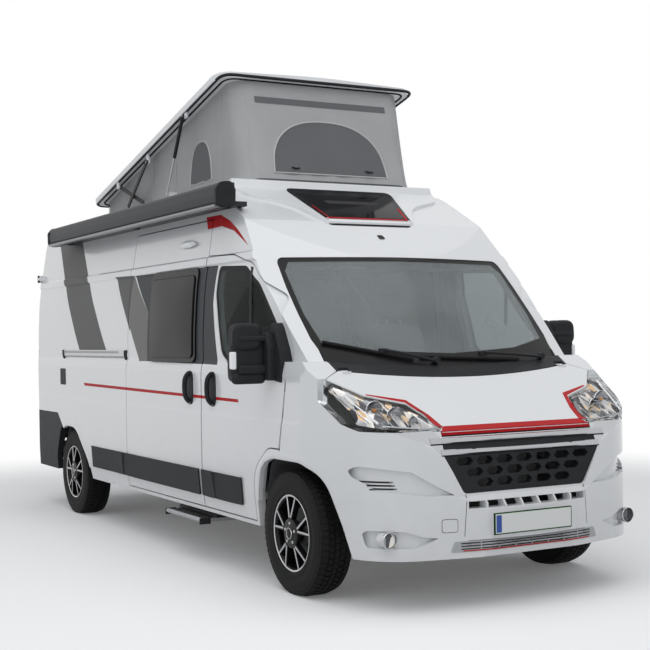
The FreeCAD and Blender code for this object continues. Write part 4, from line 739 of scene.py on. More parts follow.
def make_wheel(key):
    """Tyre, rim, spokes, hub, bolts, disc and valve, outer side out."""
    x, y = WHEELS[key]
    out = 1 if x > 0 else -1
    centre, body = (x, y, HUB), "wheel_" + key

    def ring(part, profile, finish, steps):
        return turned("%s_%s" % (part, key), profile, centre, finish, body, out, steps=steps)

    def round_the_hub(part, shape, count, finish, bevel=0.0):
        repeated("%s_%s" % (part, key), shape, "round", count, (2 * math.pi / count, 0, 0), finish, body, centre,
                 mirror=out < 0, bevel=bevel)

    other_half = [(-along, radius) for along, radius in reversed(CARCASS)]
    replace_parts(ring("tyre_carcass", CARCASS + other_half, tyre_rubber, 96), "tyre_" + key)
    round_the_hub("tyre_tread", tread_pitch(), TREAD_PITCHES, tyre_rubber)
    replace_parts(ring("rim_barrel", BARREL, black_alloy, 96), "rim_" + key)
    ring("rim_lip", RIM_LIP, cut_alloy, 96)
    round_the_hub("spokes", spoke(ARM, 0.1127, 0.034, 0.06), SPOKES, black_alloy, 0.003)
    round_the_hub("spoke_faces", spoke(ARM_FACE, 0.1135, 0.004, 0.0), SPOKES, cut_alloy, 0.0008)
    ring("hub", HUB_SHELL, black_alloy, 48)
    ring("hub_cap", HUB_CAP, gloss_black, 40)
    ring("hub_cap_ring", HUB_CAP_RING, cut_alloy, 40)
    round_the_hub("wheel_bolts", wheel_bolt(), SPOKES, bare_steel, 0.001)
    ring("brake_disc", BRAKE_DISC, cast_iron, 64)
    tube("tyre_valve_" + key, [(x + out * 0.098, y + 0.02, HUB - 0.196), (x + out * 0.112, y + 0.02, HUB - 0.188)],
         0.003, rubber, body, smooth=False)


for key in WHEELS:
    make_wheel(key)

# ---- front ------------------------------------------------------------------------------------------

NOSE = ("front_bumper", "front_wings", "bonnet", "chrome_bars", "grille", "headlamps", "scuttle")

# The red stripe follows the bonnet's edge from over the lamps to the nose, and turns down over its lip.
STRIPE_OUTER = [(0.772, -2.540), (0.568, -2.620), (0.518, -2.742), (0.503, -2.866)]
STRIPE_INNER = [(0.765, -2.532), (0.550, -2.597), (0.490, -2.735), (0.470, -2.834)]
FOLD_Y, FOLD_Z = -2.8755, 0.9572  # the line where it turns down
STRIPE_FRONT = [(-0.503, FOLD_Y), (0.503, FOLD_Y), (0.470, -2.834), (-0.470, -2.834)]
STRIPE_LIP = [(-0.512, 0.936), (0.512, 0.936), (0.503, FOLD_Z), (-0.503, FOLD_Z)]
LIP_LINE = [(-0.535, 0.926), (0.535, 0.926), (0.525, 0.936), (-0.525, 0.936)]


def on_bonnet(name, look, corners, finish, lift, grid=0.05):
    """A thin piece on the bonnet."""
    patch(name, look, corners, ("bonnet",), 0.002, finish, "bonnet", lift=lift, grid=grid)


for side, name in SIDE_NAMES:
    for number in range(len(STRIPE_OUTER) - 1):
        quad = to_side(STRIPE_OUTER[number:number + 2] + STRIPE_INNER[number:number + 2][::-1], side)
        on_bonnet("bonnet_stripe_%s_%d" % (name, number), "top", quad if side > 0 else quad[::-1], red_foil, 0.0006)
on_bonnet("bonnet_stripe_front", "top", STRIPE_FRONT, red_foil, 0.0012)
on_bonnet("bonnet_stripe_lip", "front", STRIPE_LIP, red_foil, 0.0014)
tube("bonnet_stripe_edge", [(-0.506, FOLD_Y, FOLD_Z), (0.506, FOLD_Y, FOLD_Z)], 0.0032, red_foil, "bonnet",
     smooth=False, sides=10)
on_bonnet("bonnet_edge_line", "front", LIP_LINE, gloss_black, 0.0008, grid=0.02)

# Two bright bars over the grille, rounded across, each with a dark strip of painted shade under it.
PAINTED_SHADE_BAND = 0.006
for part, reach, low, high in (("upper", 0.592, 0.895, 0.925), ("lower", 0.538, 0.835, 0.863)):
    patch("grille_bar_" + part, "front", oblong(-reach, reach, low, high), NOSE, 0.012,
          bar_chrome, BODY, lift=0.003, grid=0.006, dome=0.014)
    # A black strip of painted shade under the bar.
    patch("grille_bar_line_" + part, "front", oblong(-reach, reach, low - PAINTED_SHADE_BAND, low),
          NOSE, 0.003, gloss_black, BODY, lift=0.003, grid=0.05)

# Number plate, blank, in its frame.
brick("front_plate_frame", (-0.264, -3.008, 0.400), (0.264, -2.998, 0.517), gloss_black, BODY, 0.003)
brick("front_plate", (-0.256, -3.0105, 0.407), (0.256, -3.006, 0.510), plate_white, BODY, 0.002)
brick("front_plate_edge", (-0.259, -3.0095, 0.4045), (0.259, -3.006, 0.5125), plate_green, BODY, 0.002)
brick("front_plate_band", (-0.253, -3.0112, 0.412), (-0.218, -3.009, 0.505), plate_blue, BODY, 0.001)


def lamp_spot(x, z, depth):
    """A point behind the lamp's face."""
    hit = meet("front", x, z, NOSE)
    return Vector((x, (hit.y if hit else -2.6) + depth, z))


def lamp_line(name, points, side, depth, radius, finish, smooth=True):
    """A bright line inside the headlamp, through (x, z) points."""
    tube(name, [lamp_spot(x * side, z, depth) for x, z in points], radius, finish, BODY, smooth=smooth)


def bowl(name, centre, radius, finish, deep=0.035):
    """A thin reflector, open to the front."""
    profile = [(0.0, radius), (0.002, radius * 0.96), (deep * 0.5, radius * 0.72), (deep * 0.85, radius * 0.4),
               (deep, radius * 0.12), (deep + 0.004, radius * 0.12), (deep * 0.9, radius * 0.45),
               (deep * 0.55, radius * 0.78), (0.004, radius * 1.04)]
    return turned(name, profile + profile[:1], centre, finish, BODY, 1, axis=1, steps=32)


# Fog lamps. Profiles are (backwards, radius).
FOG_RING = [(0.0, 0.046), (-0.006, 0.045), (-0.008, 0.041), (-0.003, 0.038), (0.01, 0.037), (0.01, 0.046),
            (0.0, 0.046)]
FOG_LENS = [(0.004, 0.0385), (-0.002, 0.036), (-0.007, 0.022), (-0.009, 0.001)]
FOG_INSIDE = [(0.0005, 0.0365), (0.003, 0.020), (0.001, 0.012), (0.001, 0.001)]
# The fog lamps' insides take the headlamp reflector's finish, whose colours are painted reflections.
for side, name in SIDE_NAMES:
    for part, profile, y, finish in (("ring", FOG_RING, -2.842, chrome), ("lens", FOG_LENS, -2.840, lens_glass),
                                     ("inside", FOG_INSIDE, -2.840, lamp_shell)):
        turned("fog_%s_%s" % (part, name), profile, (0.82 * side, y, 0.400), finish, BODY, 1, axis=1)

# Inside a headlamp: a faceted reflector, three bowls with bulbs, light guides, and upright ridges.
LAMP_SHELL = [(0.940, 1.172), (0.900, 1.205), (0.800, 1.150), (0.640, 1.085), (0.530, 1.020), (0.475, 0.962),
              (0.62, 0.966), (0.80, 0.975), (0.895, 0.998)]
LAMP_BOWLS = ((0.790, 1.070, 0.052, amber_glass), (0.700, 1.040, 0.045, lens_glass),
              (0.615, 1.008, 0.030, lens_glass))  # (x, z), radius and the bulb's glass
LAMP_GUIDE = [(0.898, 1.150), (0.884, 1.105), (0.862, 1.055), (0.838, 1.008)]
LAMP_GUIDE_OUTER = [(0.925, 1.150), (0.915, 1.100), (0.895, 1.050), (0.870, 1.010)]
LAMP_STRIP = [(0.825, 0.992), (0.70, 0.980), (0.60, 0.972), (0.52, 0.966)]
LAMP_RIDGES = (0.76, 0.72, 0.66, 0.58)
for side, name in SIDE_NAMES:
    patch("lamp_shell_" + name, "front", rounded(to_side(LAMP_SHELL, side), 0.01, 2), NOSE, 0.004, lamp_shell, BODY,
          lift=-0.052, grid=0.05)
    for number, (x, z, size, finish) in enumerate(LAMP_BOWLS, start=1):
        place = lamp_spot(x * side, z, 0.012)
        bowl("lamp_bowl_%s_%d" % (name, number), place, size, chrome)
        bulb = [(-0.004, 0.001), (-0.002, size * 0.22), (0.012, size * 0.25), (0.02, 0.001)]
        turned("lamp_bulb_%s_%d" % (name, number), bulb, place, finish, BODY, 1, axis=1, steps=20)
    lamp_line("lamp_guide_" + name, LAMP_GUIDE, side, 0.010, 0.0065, light_guide)
    lamp_line("lamp_guide_outer_" + name, LAMP_GUIDE_OUTER, side, 0.014, 0.004, chrome)
    lamp_line("lamp_strip_" + name, LAMP_STRIP, side, 0.014, 0.005, chrome)
    for number, x in enumerate(LAMP_RIDGES, start=1):
        ridge = [(x, 1.085 - (LAMP_RIDGES[0] - x) * 0.25), (x, 0.985)]  # the lamp is lower towards the grille
        lamp_line("lamp_ridge_%s_%d" % (name, number), ridge, side, 0.03, 0.004, chrome, smooth=False)

# Wipers lie low across the screen. Pivot, joint with the blade, and blade tip are (x, z).
SCREEN = ("windscreen", "scuttle", "bonnet")
WIPERS = (((-0.160, 1.305), (-0.47, 1.372), (-0.800, 1.445)), ((0.660, 1.312), (0.20, 1.345), (-0.240, 1.352)))
HOLDER = Vector((0.030, 0.012, 0.014))


def on_screen(x, z, lift):
    """A point over the windscreen."""
    hit = meet("front", x, z, SCREEN)
    return Vector((x, (hit.y if hit else -2.2) - lift, z + lift * 0.6))


def between(first, last, shares):
    """Points on the line from one place to another."""
    return [tuple(a + (b - a) * share for a, b in zip(first, last)) for share in shares]


for number, (pivot, joint, tip) in enumerate(WIPERS, start=1):
    arm = [on_screen(*pivot, 0.022)] + [on_screen(x, z, 0.030) for x, z in between(pivot, joint, (0.35, 0.7, 1.0))]
    tube("wiper_arm_%d" % number, arm, 0.009, black_plastic, BODY)
    centre = on_screen(*joint, 0.020)
    brick("wiper_holder_%d" % number, centre - HOLDER, centre + HOLDER, black_plastic, BODY, 0.005)
    blade = [on_screen(x, z - 0.012, 0.012) for x, z in between(pivot, tip, (0.22, 0.4, 0.6, 0.8, 1.0))]
    tube("wiper_blade_%d" % number, blade, 0.010, rubber, BODY)
    turned("wiper_pivot_%d" % number, [(0.0, 0.001), (0.0, 0.018), (0.03, 0.022), (0.04, 0.001)],
           on_screen(*pivot, 0.03), black_plastic, BODY, 1, axis=1, steps=20)

# Bumper seams, the towing-eye cover and the bright lower grille.
BUMPER_SEAM = [(0.400, 0.622), (0.403, 0.622), (0.420, 0.400), (0.417, 0.400)]


def on_bumper(name, corners, thick, finish, lift, grid=0.04):
    """A piece on the front bumper."""
    patch(name, "front", corners, ("front_bumper",), thick, finish, BODY, lift=lift, grid=grid)


for side, name in SIDE_NAMES:
    on_bumper("bumper_seam_" + name, to_side(BUMPER_SEAM, side), 0.001, shadow_gap, 0.0006)
on_bumper("towing_cover", rounded(oblong(-0.545, -0.455, 0.425, 0.497), 0.016), 0.003, shadow_gap, 0.0006)
on_bumper("towing_cover_face", rounded(oblong(-0.542, -0.458, 0.428, 0.494), 0.014), 0.003, paint, 0.0014)
on_bumper("lower_grille_frame", rounded([(-0.475, 0.375), (-0.500, 0.318), (0.500, 0.318), (0.475, 0.375)], 0.012),
          0.006, silver_plastic, 0.003, grid=0.02)
for number, z in enumerate((0.331, 0.346, 0.361), start=1):
    on_bumper("lower_grille_slot_%d" % number, oblong(-0.44, 0.44, z, z + 0.0065), 0.002, shadow_gap, 0.0036)
for number in range(7):
    x = -0.33 + number * 0.11
    on_bumper("lower_grille_post_%d" % number, oblong(x, x + 0.006, 0.329, 0.369), 0.002, silver_plastic, 0.0052)
on_bumper("lower_grille_line", oblong(-0.430, 0.430, 0.3215, 0.3275), 0.002, red_foil, 0.0040)

# ---- sides ------------------------------------------------------------------------------------------

SIDES = {-1: ("right", ("side_right", "sliding_door", "cab_door_right")),
         1: ("left", ("side_left", "cab_door_left"))}


HANDLE_WIDE = 0.108
HANDLE_GRIP = ((0.006, 1.243), (0.034, 1.225), (0.043, 1.150), (0.034, 1.070), (0.006, 1.052))  # (outwards, z)


def door_handle(name, side, front, body):
    """An upright grip in its black dish, with the lock under it."""
    look, nodes = SIDES[side]
    dish = rounded(oblong(front, front + HANDLE_WIDE, 1.034, 1.258), 0.052, 6)
    patch(name + "_dish", look, dish, nodes, 0.010, black_plastic, body, lift=0.006, grid=0.02, bevel=0.003)
    y = front + HANDLE_WIDE / 2
    x = meet(look, y, 1.15, nodes).x
    tube(name + "_grip", [(x + side * out, y, z) for out, z in HANDLE_GRIP], 0.0155, black_plastic, body, sides=12)
    turned(name + "_lock", [(0.004, 0.001), (0.010, 0.009), (0.008, 0.011), (0.0, 0.012)], (x, y, 1.050), bare_steel,
           body, side, steps=20)


# Outlines on the sides are (y, z).
WINDOW_DIVIDER = [(-1.545, 1.900), (-1.513, 1.905), (-1.500, 1.540), (-1.530, 1.520)]
SIDE_MARKER = [(-0.655, 2.106), (-0.560, 2.134), (-0.440, 2.140), (-0.275, 2.110), (-0.400, 2.092), (-0.530, 2.088)]
MARKER_LENS = [(-0.58, 2.106), (-0.53, 2.124), (-0.42, 2.127), (-0.35, 2.110), (-0.45, 2.100)]
for side, (look, nodes) in SIDES.items():
    door = "cab_door_" + look
    door_handle("cab_handle_" + look, side, -1.080, door)
    patch("window_divider_" + look, look, WINDOW_DIVIDER, (door, "cab_glass_" + look), 0.008, black_plastic, door,
          lift=0.004, bevel=0.002)
    patch("side_marker_" + look, look, rounded(SIDE_MARKER, 0.03), nodes, 0.008, paint, BODY, lift=0.016, grid=0.02,
          bevel=0.006, dome=0.008)
    patch("side_marker_lens_" + look, look, rounded(MARKER_LENS, 0.01), nodes, 0.006, lens_glass, BODY, lift=0.027,
          grid=0.02, bevel=0.002)

# Black mouldings along the doors, in lengths that meet at the gaps. The gap in the cab door's moulding slants.
MOULDING_LOW, MOULDING_HIGH = 0.448, 0.618
MOULDING_SLANT = 0.018
for side, (look, nodes) in SIDES.items():
    door = "cab_door_" + look
    for number, (rear, front, rear_slant, front_slant, body) in enumerate((
            (1.380, 0.634, 0.0, 0.0, BODY), (0.624, -0.824, 0.0, 0.0, BODY),
            (-0.846, -1.055, 0.0, MOULDING_SLANT, door), (-1.062, -1.458, MOULDING_SLANT, 0.0, door)), start=1):
        corners = [(rear - rear_slant, MOULDING_LOW), (rear + rear_slant, MOULDING_HIGH),
                   (front + front_slant, MOULDING_HIGH), (front - front_slant, MOULDING_LOW)]
        patch("moulding_%s_%d" % (look, number), look, rounded(corners, 0.010, 3), nodes, 0.008, moulding, body,
              lift=0.013, grid=0.2, bevel=0.005)


LIP_INNER, LIP_OUTER = -0.016, 0.030  # how far the lip's edges stand from the arch
LIP_FOOT = 0.26  # the lip ends this high


def arch_lip(name, look, side, corners, nodes):
    """A rolled edge in body colour round a wheel opening, split where a door carries it.

    A corner is its (y, z) and the way it moves as the arch grows."""
    inner, outer = [rounded([(u + du * grow, v + dv * grow) for (u, v), (du, dv) in corners], 0.30, 7)
                    for grow in (LIP_INNER, LIP_OUTER)]
    runs = []
    for (u0, v0), (u1, v1) in zip(inner, outer):
        if v1 < LIP_FOOT:
            continue
        hits = [(meet(look, u1, v1, (node,)), node) for node in nodes]
        hits = [(hit.x, node) for hit, node in hits if hit and abs(hit.x) > 0.85]
        if not hits:
            continue
        x, node = max(hits, key=lambda found: abs(found[0]))
        body = node if node.startswith("cab_door") else BODY
        if not runs or runs[-1][0] != body:
            runs.append((body, []))
        runs[-1][1].append((x, u0, v0, u1, v1))
    for number, (body, points) in enumerate(runs, start=1):
        if len(points) < 2:
            continue
        work = bmesh.new()
        rows = []
        for x, u0, v0, u1, v1 in points:
            middle = ((u0 + u1) / 2, (v0 + v1) / 2)
            shoulder = (u0 + (u1 - u0) * 0.15, v0 + (v1 - v0) * 0.15)
            section = ((-0.030, (u0, v0)), (0.001, (u0, v0)), (0.004, shoulder), (0.004, middle), (0.001, (u1, v1)),
                       (-0.004, (u1, v1)), (-0.030, middle))
            rows.append([work.verts.new((x + side * out, *place)) for out, place in section])
        count = len(rows[0])
        for a, b in zip(rows, rows[1:]):
            for i in range(count):
                work.faces.new([a[i], a[(i + 1) % count], b[(i + 1) % count], b[i]])
        work.faces.new(rows[0])
        work.faces.new(rows[-1][::-1])
        make("%s_%d" % (name, number), work, paint, body, angle=50)


FRONT_ARCH = [((-1.656, 0.150), (1, 0)), ((-1.656, 0.542), (1, 0)), ((-1.706, 0.727), (1, 0.5)),
              ((-1.861, 0.784), (0, 1)), ((-2.221, 0.784), (0, 1)), ((-2.431, 0.702), (-1, 0.5)),
              ((-2.571, 0.442), (-1, 0)), ((-2.696, 0.150), (-1, 0))]
REAR_ARCH = [((2.384, 0.150), (1, 0)), ((2.384, 0.452), (1, 0)), ((2.199, 0.759), (1, 1)), ((1.794, 0.759), (-1, 1)),
             ((1.504, 0.482), (-1, 0)), ((1.344, 0.150), (-1, 0))]
for side, look in SIDE_NAMES:
    arch_lip("front_arch_lip_" + look, look, side, FRONT_ARCH,
             ("front_wings", "front_bumper", "cab_door_" + look, "side_" + look))
    arch_lip("rear_arch_lip_" + look, look, side, REAR_ARCH, ("side_" + look,))

# The sliding door's handle, the filler flap and the sliding door's rail.
RAIL = ("side_right", "slide_rail")
door_handle("sliding_handle", -1, -0.712, BODY)
patch("filler_flap", "right", rounded(oblong(2.075, 2.215, 1.093, 1.232), 0.012), ("side_right",), 0.004,
      black_plastic, BODY, lift=0.004, bevel=0.002)
for name, y in (("front", 0.590), ("rear", 2.130)):
    patch("rail_end_" + name, "right", rounded(oblong(y, y + 0.034, 1.318, 1.392), 0.005), RAIL, 0.03, black_plastic,
          BODY, lift=0.006, bevel=0.003)
patch("rail_face", "right", oblong(0.618, 2.136, 1.330, 1.384), RAIL, 0.012, silver_plastic, BODY, lift=0.004,
      grid=0.2, bevel=0.003)

# Camper windows: smoked panes that stand a little proud. Places are front, rear, low, high.
SLIDING_WINDOW = (-0.729, 0.115, 1.313, 1.941)
REAR_WINDOW = (1.719, 2.449, 1.413, 1.941)
RIGHT_PANES = ("sliding_door", "sliding_door_window")
LEFT_PANES = ("side_left", "side_windows_left")
for name, look, nodes, (front, rear, low, high) in (("sliding", "right", RIGHT_PANES, SLIDING_WINDOW),
                                                    ("left_front", "left", LEFT_PANES, SLIDING_WINDOW),
                                                    ("left_rear", "left", LEFT_PANES, REAR_WINDOW)):
    pane = rounded(oblong(front + 0.035, rear - 0.035, low + 0.03, high - 0.045), 0.05, 6)
    patch("camper_pane_" + name, look, pane, nodes, 0.010, dark_glass, BODY, lift=0.009, grid=0.08, bevel=0.005,
          dome=0.008)

# ---- mirrors ----------------------------------------------------------------------------------------

mirror_low, mirror_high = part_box("mirror_left")
MIRROR_OUT = mirror_high.x
MIRROR_Y = mirror_low.y


# Mirror parts seen from the front: finish, outline as (inwards from the mirror's outer edge, z), how much its
# corners are eased, from and to behind the mirror's front, bevel and its steps.
MIRROR_HEAD = (black_plastic, [(0.218, 1.215), (0.003, 1.215), (0.000, 1.300), (0.014, 1.555), (0.188, 1.555),
                               (0.210, 1.440)], 0.05, 0.012, 0.098, 0.026, 4)
MIRROR_PARTS = {
    "glass": (mirror_glass, [(0.200, 1.290), (0.020, 1.290), (0.018, 1.320), (0.028, 1.538), (0.178, 1.538),
                             (0.196, 1.440)], 0.04, 0.097, 0.102, 0.002, 2),
    "wide_glass": (mirror_glass, oblong(0.200, 0.020, 1.232, 1.280), 0.02, 0.097, 0.102, 0.002, 2),
    "hood": (black_plastic, [(0.198, 1.395), (0.002, 1.395), (0.010, 1.556), (0.168, 1.556)], 0.06, -0.006, 0.05,
             0.026, 4),
    "lobe": (black_plastic, oblong(0.212, 0.000, 1.204, 1.272), 0.05, -0.002, 0.05, 0.024, 4),
}

# The mirror's foot on the door, as (y, z).
MIRROR_JOINT = [(-1.948, 1.222), (-1.862, 1.222), (-1.862, 1.500), (-1.905, 1.500), (-1.940, 1.420)]
MIRROR_COVER = [(-2.014, 1.208), (-1.872, 1.226), (-1.880, 1.430), (-1.893, 1.570), (-1.930, 1.520), (-1.990, 1.400),
                (-2.014, 1.320)]


def mirror_slab(part, look, side, shape):
    """One of those parts, on its door."""
    finish, outline, ease, near, far, bevel, steps = shape
    corners = rounded([((MIRROR_OUT - u) * side, v) for u, v in outline], ease, 6)
    return slab("mirror_%s_%s" % (part, look), "front", corners, MIRROR_Y + near, MIRROR_Y + far, finish,
                "cab_door_" + look, bevel, steps)


def mirror_brick(part, look, side, across, back, up, finish, bevel):
    """A box of a mirror, from its reaches sideways, backwards and up."""
    left, right = sorted(reach * side for reach in across)
    brick("mirror_%s_%s" % (part, look), (left, MIRROR_Y + back[0], up[0]), (right, MIRROR_Y + back[1], up[1]),
          finish, "cab_door_" + look, bevel, 3)


for side, look in SIDE_NAMES:
    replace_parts(mirror_slab("head", look, side, MIRROR_HEAD), "mirror_" + look)
    for part, shape in MIRROR_PARTS.items():
        mirror_slab(part, look, side, shape)
    mirror_brick("repeater", look, side, (MIRROR_OUT - 0.026, MIRROR_OUT + 0.001), (0.004, 0.055), (1.290, 1.392),
                 light_guide, 0.008)
    for part, up in (("arm_low", (1.262, 1.314)), ("arm_high", (1.449, 1.483))):
        mirror_brick(part, look, side, (1.035, MIRROR_OUT - 0.035), (-0.014, 0.030), up, black_plastic, 0.012)
    for part, corners, near, far, bevel in (("joint", MIRROR_JOINT, 1.062, 0.950, 0.016),
                                            ("cover", MIRROR_COVER, 1.016, 0.935, 0.010)):
        slab("mirror_%s_%s" % (part, look), look, rounded(corners, 0.02, 3), near * side, far * side, black_plastic,
             "cab_door_" + look, bevel, 3)

# ---- roof -------------------------------------------------------------------------------------------

ROOF = ("roof_shell", "skylight", "roof_base", "pop_roof")

# The skylight: rim, red line round its front, pane and the slot of its blind. Outlines are (x, y).
SKYLIGHT_RIM = [(-0.4187, -0.913), (-0.318, -1.358), (0.318, -1.358), (0.4187, -0.913)]
SKYLIGHT_LINES = ([(-0.337, -1.160), (-0.303, -1.335), (-0.293, -1.326), (-0.325, -1.160)],
                  [(-0.303, -1.335), (0.303, -1.335), (0.293, -1.324), (-0.293, -1.324)],
                  [(0.325, -1.160), (0.293, -1.326), (0.303, -1.335), (0.337, -1.160)])
SKYLIGHT_PANE = [(-0.372, -0.955), (-0.288, -1.312), (0.288, -1.312), (0.372, -0.955)]
SKYLIGHT_SLOT = [(-0.21, -1.085), (0.21, -1.085), (0.20, -1.130), (-0.20, -1.130)]
patch("skylight_rim", "top", rounded(SKYLIGHT_RIM, 0.05, 5), ROOF, 0.006, gloss_black, BODY, lift=0.005, grid=0.05,
      bevel=0.003)
for number, quad in enumerate(SKYLIGHT_LINES, start=1):
    patch("skylight_line_%d" % number, "top", quad, ROOF, 0.003, red_foil, BODY, lift=0.0075, grid=0.05)
patch("skylight_pane", "top", rounded(SKYLIGHT_PANE, 0.045, 5), ROOF, 0.006, dark_glass, BODY, lift=0.008, grid=0.05,
      bevel=0.003, dome=0.004)
patch("skylight_slot", "top", rounded(SKYLIGHT_SLOT, 0.02, 4), ROOF, 0.006, shadow_gap, BODY, lift=0.0125, grid=0.05,
      bevel=0.001)
patch("roof_camera", "front", rounded([(-0.022, 2.098), (0.022, 2.098), (0.018, 2.124), (-0.018, 2.124)], 0.008, 3),
      ("roof_shell",), 0.012, black_plastic, BODY, lift=0.010, grid=0.02, bevel=0.004)

# Awning case: end caps, lead rail, and brackets to the roof.
low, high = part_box("awning")
inner = low.x + 0.128  # the case's side towards the roof
cap = rounded([(low.x - 0.004, low.z + 0.012), (low.x + 0.04, low.z - 0.004), (inner, low.z + 0.004),
               (inner + 0.004, high.z - 0.05), (inner - 0.03, high.z + 0.004), (low.x + 0.03, high.z - 0.004),
               (low.x - 0.006, high.z - 0.045)], 0.03, 5)
for name, near, far in (("front", low.y - 0.014, low.y + 0.020), ("rear", high.y - 0.020, high.y + 0.014)):
    slab("awning_cap_" + name, "front", cap, near, far, black_plastic, BODY, 0.006)
brick("awning_lead_rail", (low.x - 0.005, low.y + 0.02, low.z - 0.002), (low.x + 0.040, high.y - 0.02, low.z + 0.018),
      awning_light, BODY, 0.004)
brick("awning_lead_slot", (low.x - 0.0058, low.y + 0.022, low.z + 0.0185),
      (low.x + 0.01, high.y - 0.022, low.z + 0.023), shadow_gap, BODY, 0.0)
for number, y in enumerate((low.y + 0.16, (low.y + high.y) / 2, high.y - 0.16), start=1):
    brick("awning_bracket_%d" % number, (inner - 0.01, y - 0.035, low.z + 0.004),
          (inner + 0.035, y + 0.035, low.z + 0.045), black_plastic, BODY, 0.006)

# ---- tent -------------------------------------------------------------------------------------------

TENT = ("tent_cloth",)
tent_low, tent_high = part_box("tent")
tent_verts = [v.co for v in frame["nodes"]["tent"].data.vertices]
brow = max(tent_verts, key=lambda place: place.z)
tail_top = max((place for place in tent_verts if place.y > tent_high.y - 0.002), key=lambda place: place.z)
CORNER = 0.16  # radius of the tent's front corners in plan
SIDE_STEPS, CORNER_STEPS, FRONT_STEPS, WALL_ROWS = 46, 8, 26, 22
BROW_REACH = 0.22  # the walls keep one height over this length behind the tent's front
LEAN, LEAN_REACH = 0.20, 0.55  # how far the front wall's top leans back, fading over this length


def tent_top(y):
    """Height of the lid's underside over a place along the tent."""
    share = (y - brow.y) / (tail_top.y - brow.y)
    return brow.z + (tail_top.z - brow.z) * max(share, -0.05)


def tent_path():
    """The tent's foot in plan, from the right rear corner round the front to the left."""
    back, front = tent_high.y - 0.01, tent_low.y + 0.012
    reach = tent_high.x - 0.012
    run = [(-reach, back + (front + CORNER - back) * i / SIDE_STEPS) for i in range(SIDE_STEPS)]
    for i in range(CORNER_STEPS + 1):
        turn = math.pi / 2 * i / CORNER_STEPS
        run.append((-reach + CORNER * (1 - math.cos(turn)), front + CORNER * (1 - math.sin(turn))))
    right_half = run[:]
    for i in range(1, FRONT_STEPS):
        run.append((-reach + CORNER + 2 * (reach - CORNER) * i / FRONT_STEPS, front))
    return run + [(-x, y) for x, y in reversed(right_half)]


def tent_wall(name, finish):
    """Cloth walls: pinched at the foot rail and at the lid, slack and slightly creased between."""
    random.seed(7)
    path = tent_path()
    travel = [0.0]
    for a, b in zip(path, path[1:]):
        travel.append(travel[-1] + math.dist(a, b))
    phases = [(random.uniform(0, 6.3), random.uniform(2.2, 5.5), random.uniform(-1.2, 1.2)) for _ in range(5)]
    work = bmesh.new()
    layer = work.loops.layers.uv.new("cloth")
    grid = []
    for i, (x, y) in enumerate(path):
        before, after = path[max(i - 1, 0)], path[min(i + 1, len(path) - 1)]
        along = Vector((after[0] - before[0], after[1] - before[1], 0)).normalized()
        outward = Vector((along.y, -along.x, 0))
        behind = y - tent_low.y
        top = tent_top(max(y, tent_low.y + BROW_REACH))
        column = []
        for j in range(WALL_ROWS + 1):
            t = j / WALL_ROWS
            lean = LEAN * t * max(0.0, 1 - behind / LEAN_REACH)
            slack = math.sin(math.pi * t) ** 0.7
            ripple = sum(math.sin(travel[i] * k + p + q * t * 3) for p, k, q in phases) * 0.0028 * slack
            fold = 0.004 * math.sin(travel[i] * 31 + 2.1 * t) * (1 - t) ** 3
            place = Vector((x, y + lean, tent_low.z + (top - tent_low.z) * t))
            column.append(work.verts.new(place + outward * (-0.010 * slack + ripple + fold)))
        grid.append(column)
    for i in range(len(path) - 1):
        for j in range(WALL_ROWS):
            corners = ((i, j), (i + 1, j), (i + 1, j + 1), (i, j + 1))
            face = work.faces.new([grid[a][b] for a, b in corners])
            for loop, (a, b) in zip(face.loops, corners):
                loop[layer].uv = (travel[a], b / WALL_ROWS)
    area = sum(face.calc_area() for face in work.faces)
    return make(name, work, finish, BODY, angle=80), travel[-1], area


tent_piece, tent_run, tent_area = tent_wall("tent_cloth", tent_cloth)
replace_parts(tent_piece, "tent")
skins[TENT] = BVHTree.FromPolygons([v.co.copy() for v in tent_piece.data.vertices],
                                   [tuple(p.vertices) for p in tent_piece.data.polygons])
tent_parts = []


def on_tent(name, points, radius, finish):
    """A seam, piping or rail that goes with the tent."""
    tent_parts.append(tube(name, points, radius, finish, BODY))


def tent_panel(name, look, corners):
    """A panel of dark mesh on the cloth."""
    tent_parts.append(patch(name, look, corners, TENT, 0.001, tent_mesh_dark, BODY, lift=0.0035, grid=0.04))


def arch(low_u, high_u, foot, height, power=2.4, steps=28):
    """An arched window: straight foot, rounded top."""
    middle, reach = (low_u + high_u) / 2, (high_u - low_u) / 2
    top = []
    for i in range(steps + 1):
        turn = math.pi * i / steps
        u, v = math.cos(turn), math.sin(turn)
        top.append((middle + reach * math.copysign(abs(u) ** (2 / power), u), foot + height * abs(v) ** (2 / power)))
    return top


def tent_window(name, look, low_u, high_u, foot, height):
    """A mesh window with its piping."""
    outline = arch(low_u, high_u, foot, height)
    tent_panel(name + "_mesh", look, outline)
    inward, _, deep = LOOKS[look]
    line = []
    for u, v in outline[::2]:
        hit = meet(look, u, v, TENT)
        line.append(hit - inward * 0.003 if hit else spot(look, u, v, line[-1][deep] if line else -0.9))
    on_tent(name + "_piping", line, 0.006, tent_piping)
    on_tent(name + "_sill", [line[0], (line[0] + line[-1]) / 2, line[-1]], 0.005, tent_piping)


def tent_seam(name, look, places, radius):
    """A seam down the cloth through (u, v) places of a look."""
    hits = [meet(look, u, v, TENT) for u, v in places]
    inward = LOOKS[look][0]
    on_tent(name, [hit - inward * 0.002 for hit in hits if hit], radius, tent_piping)


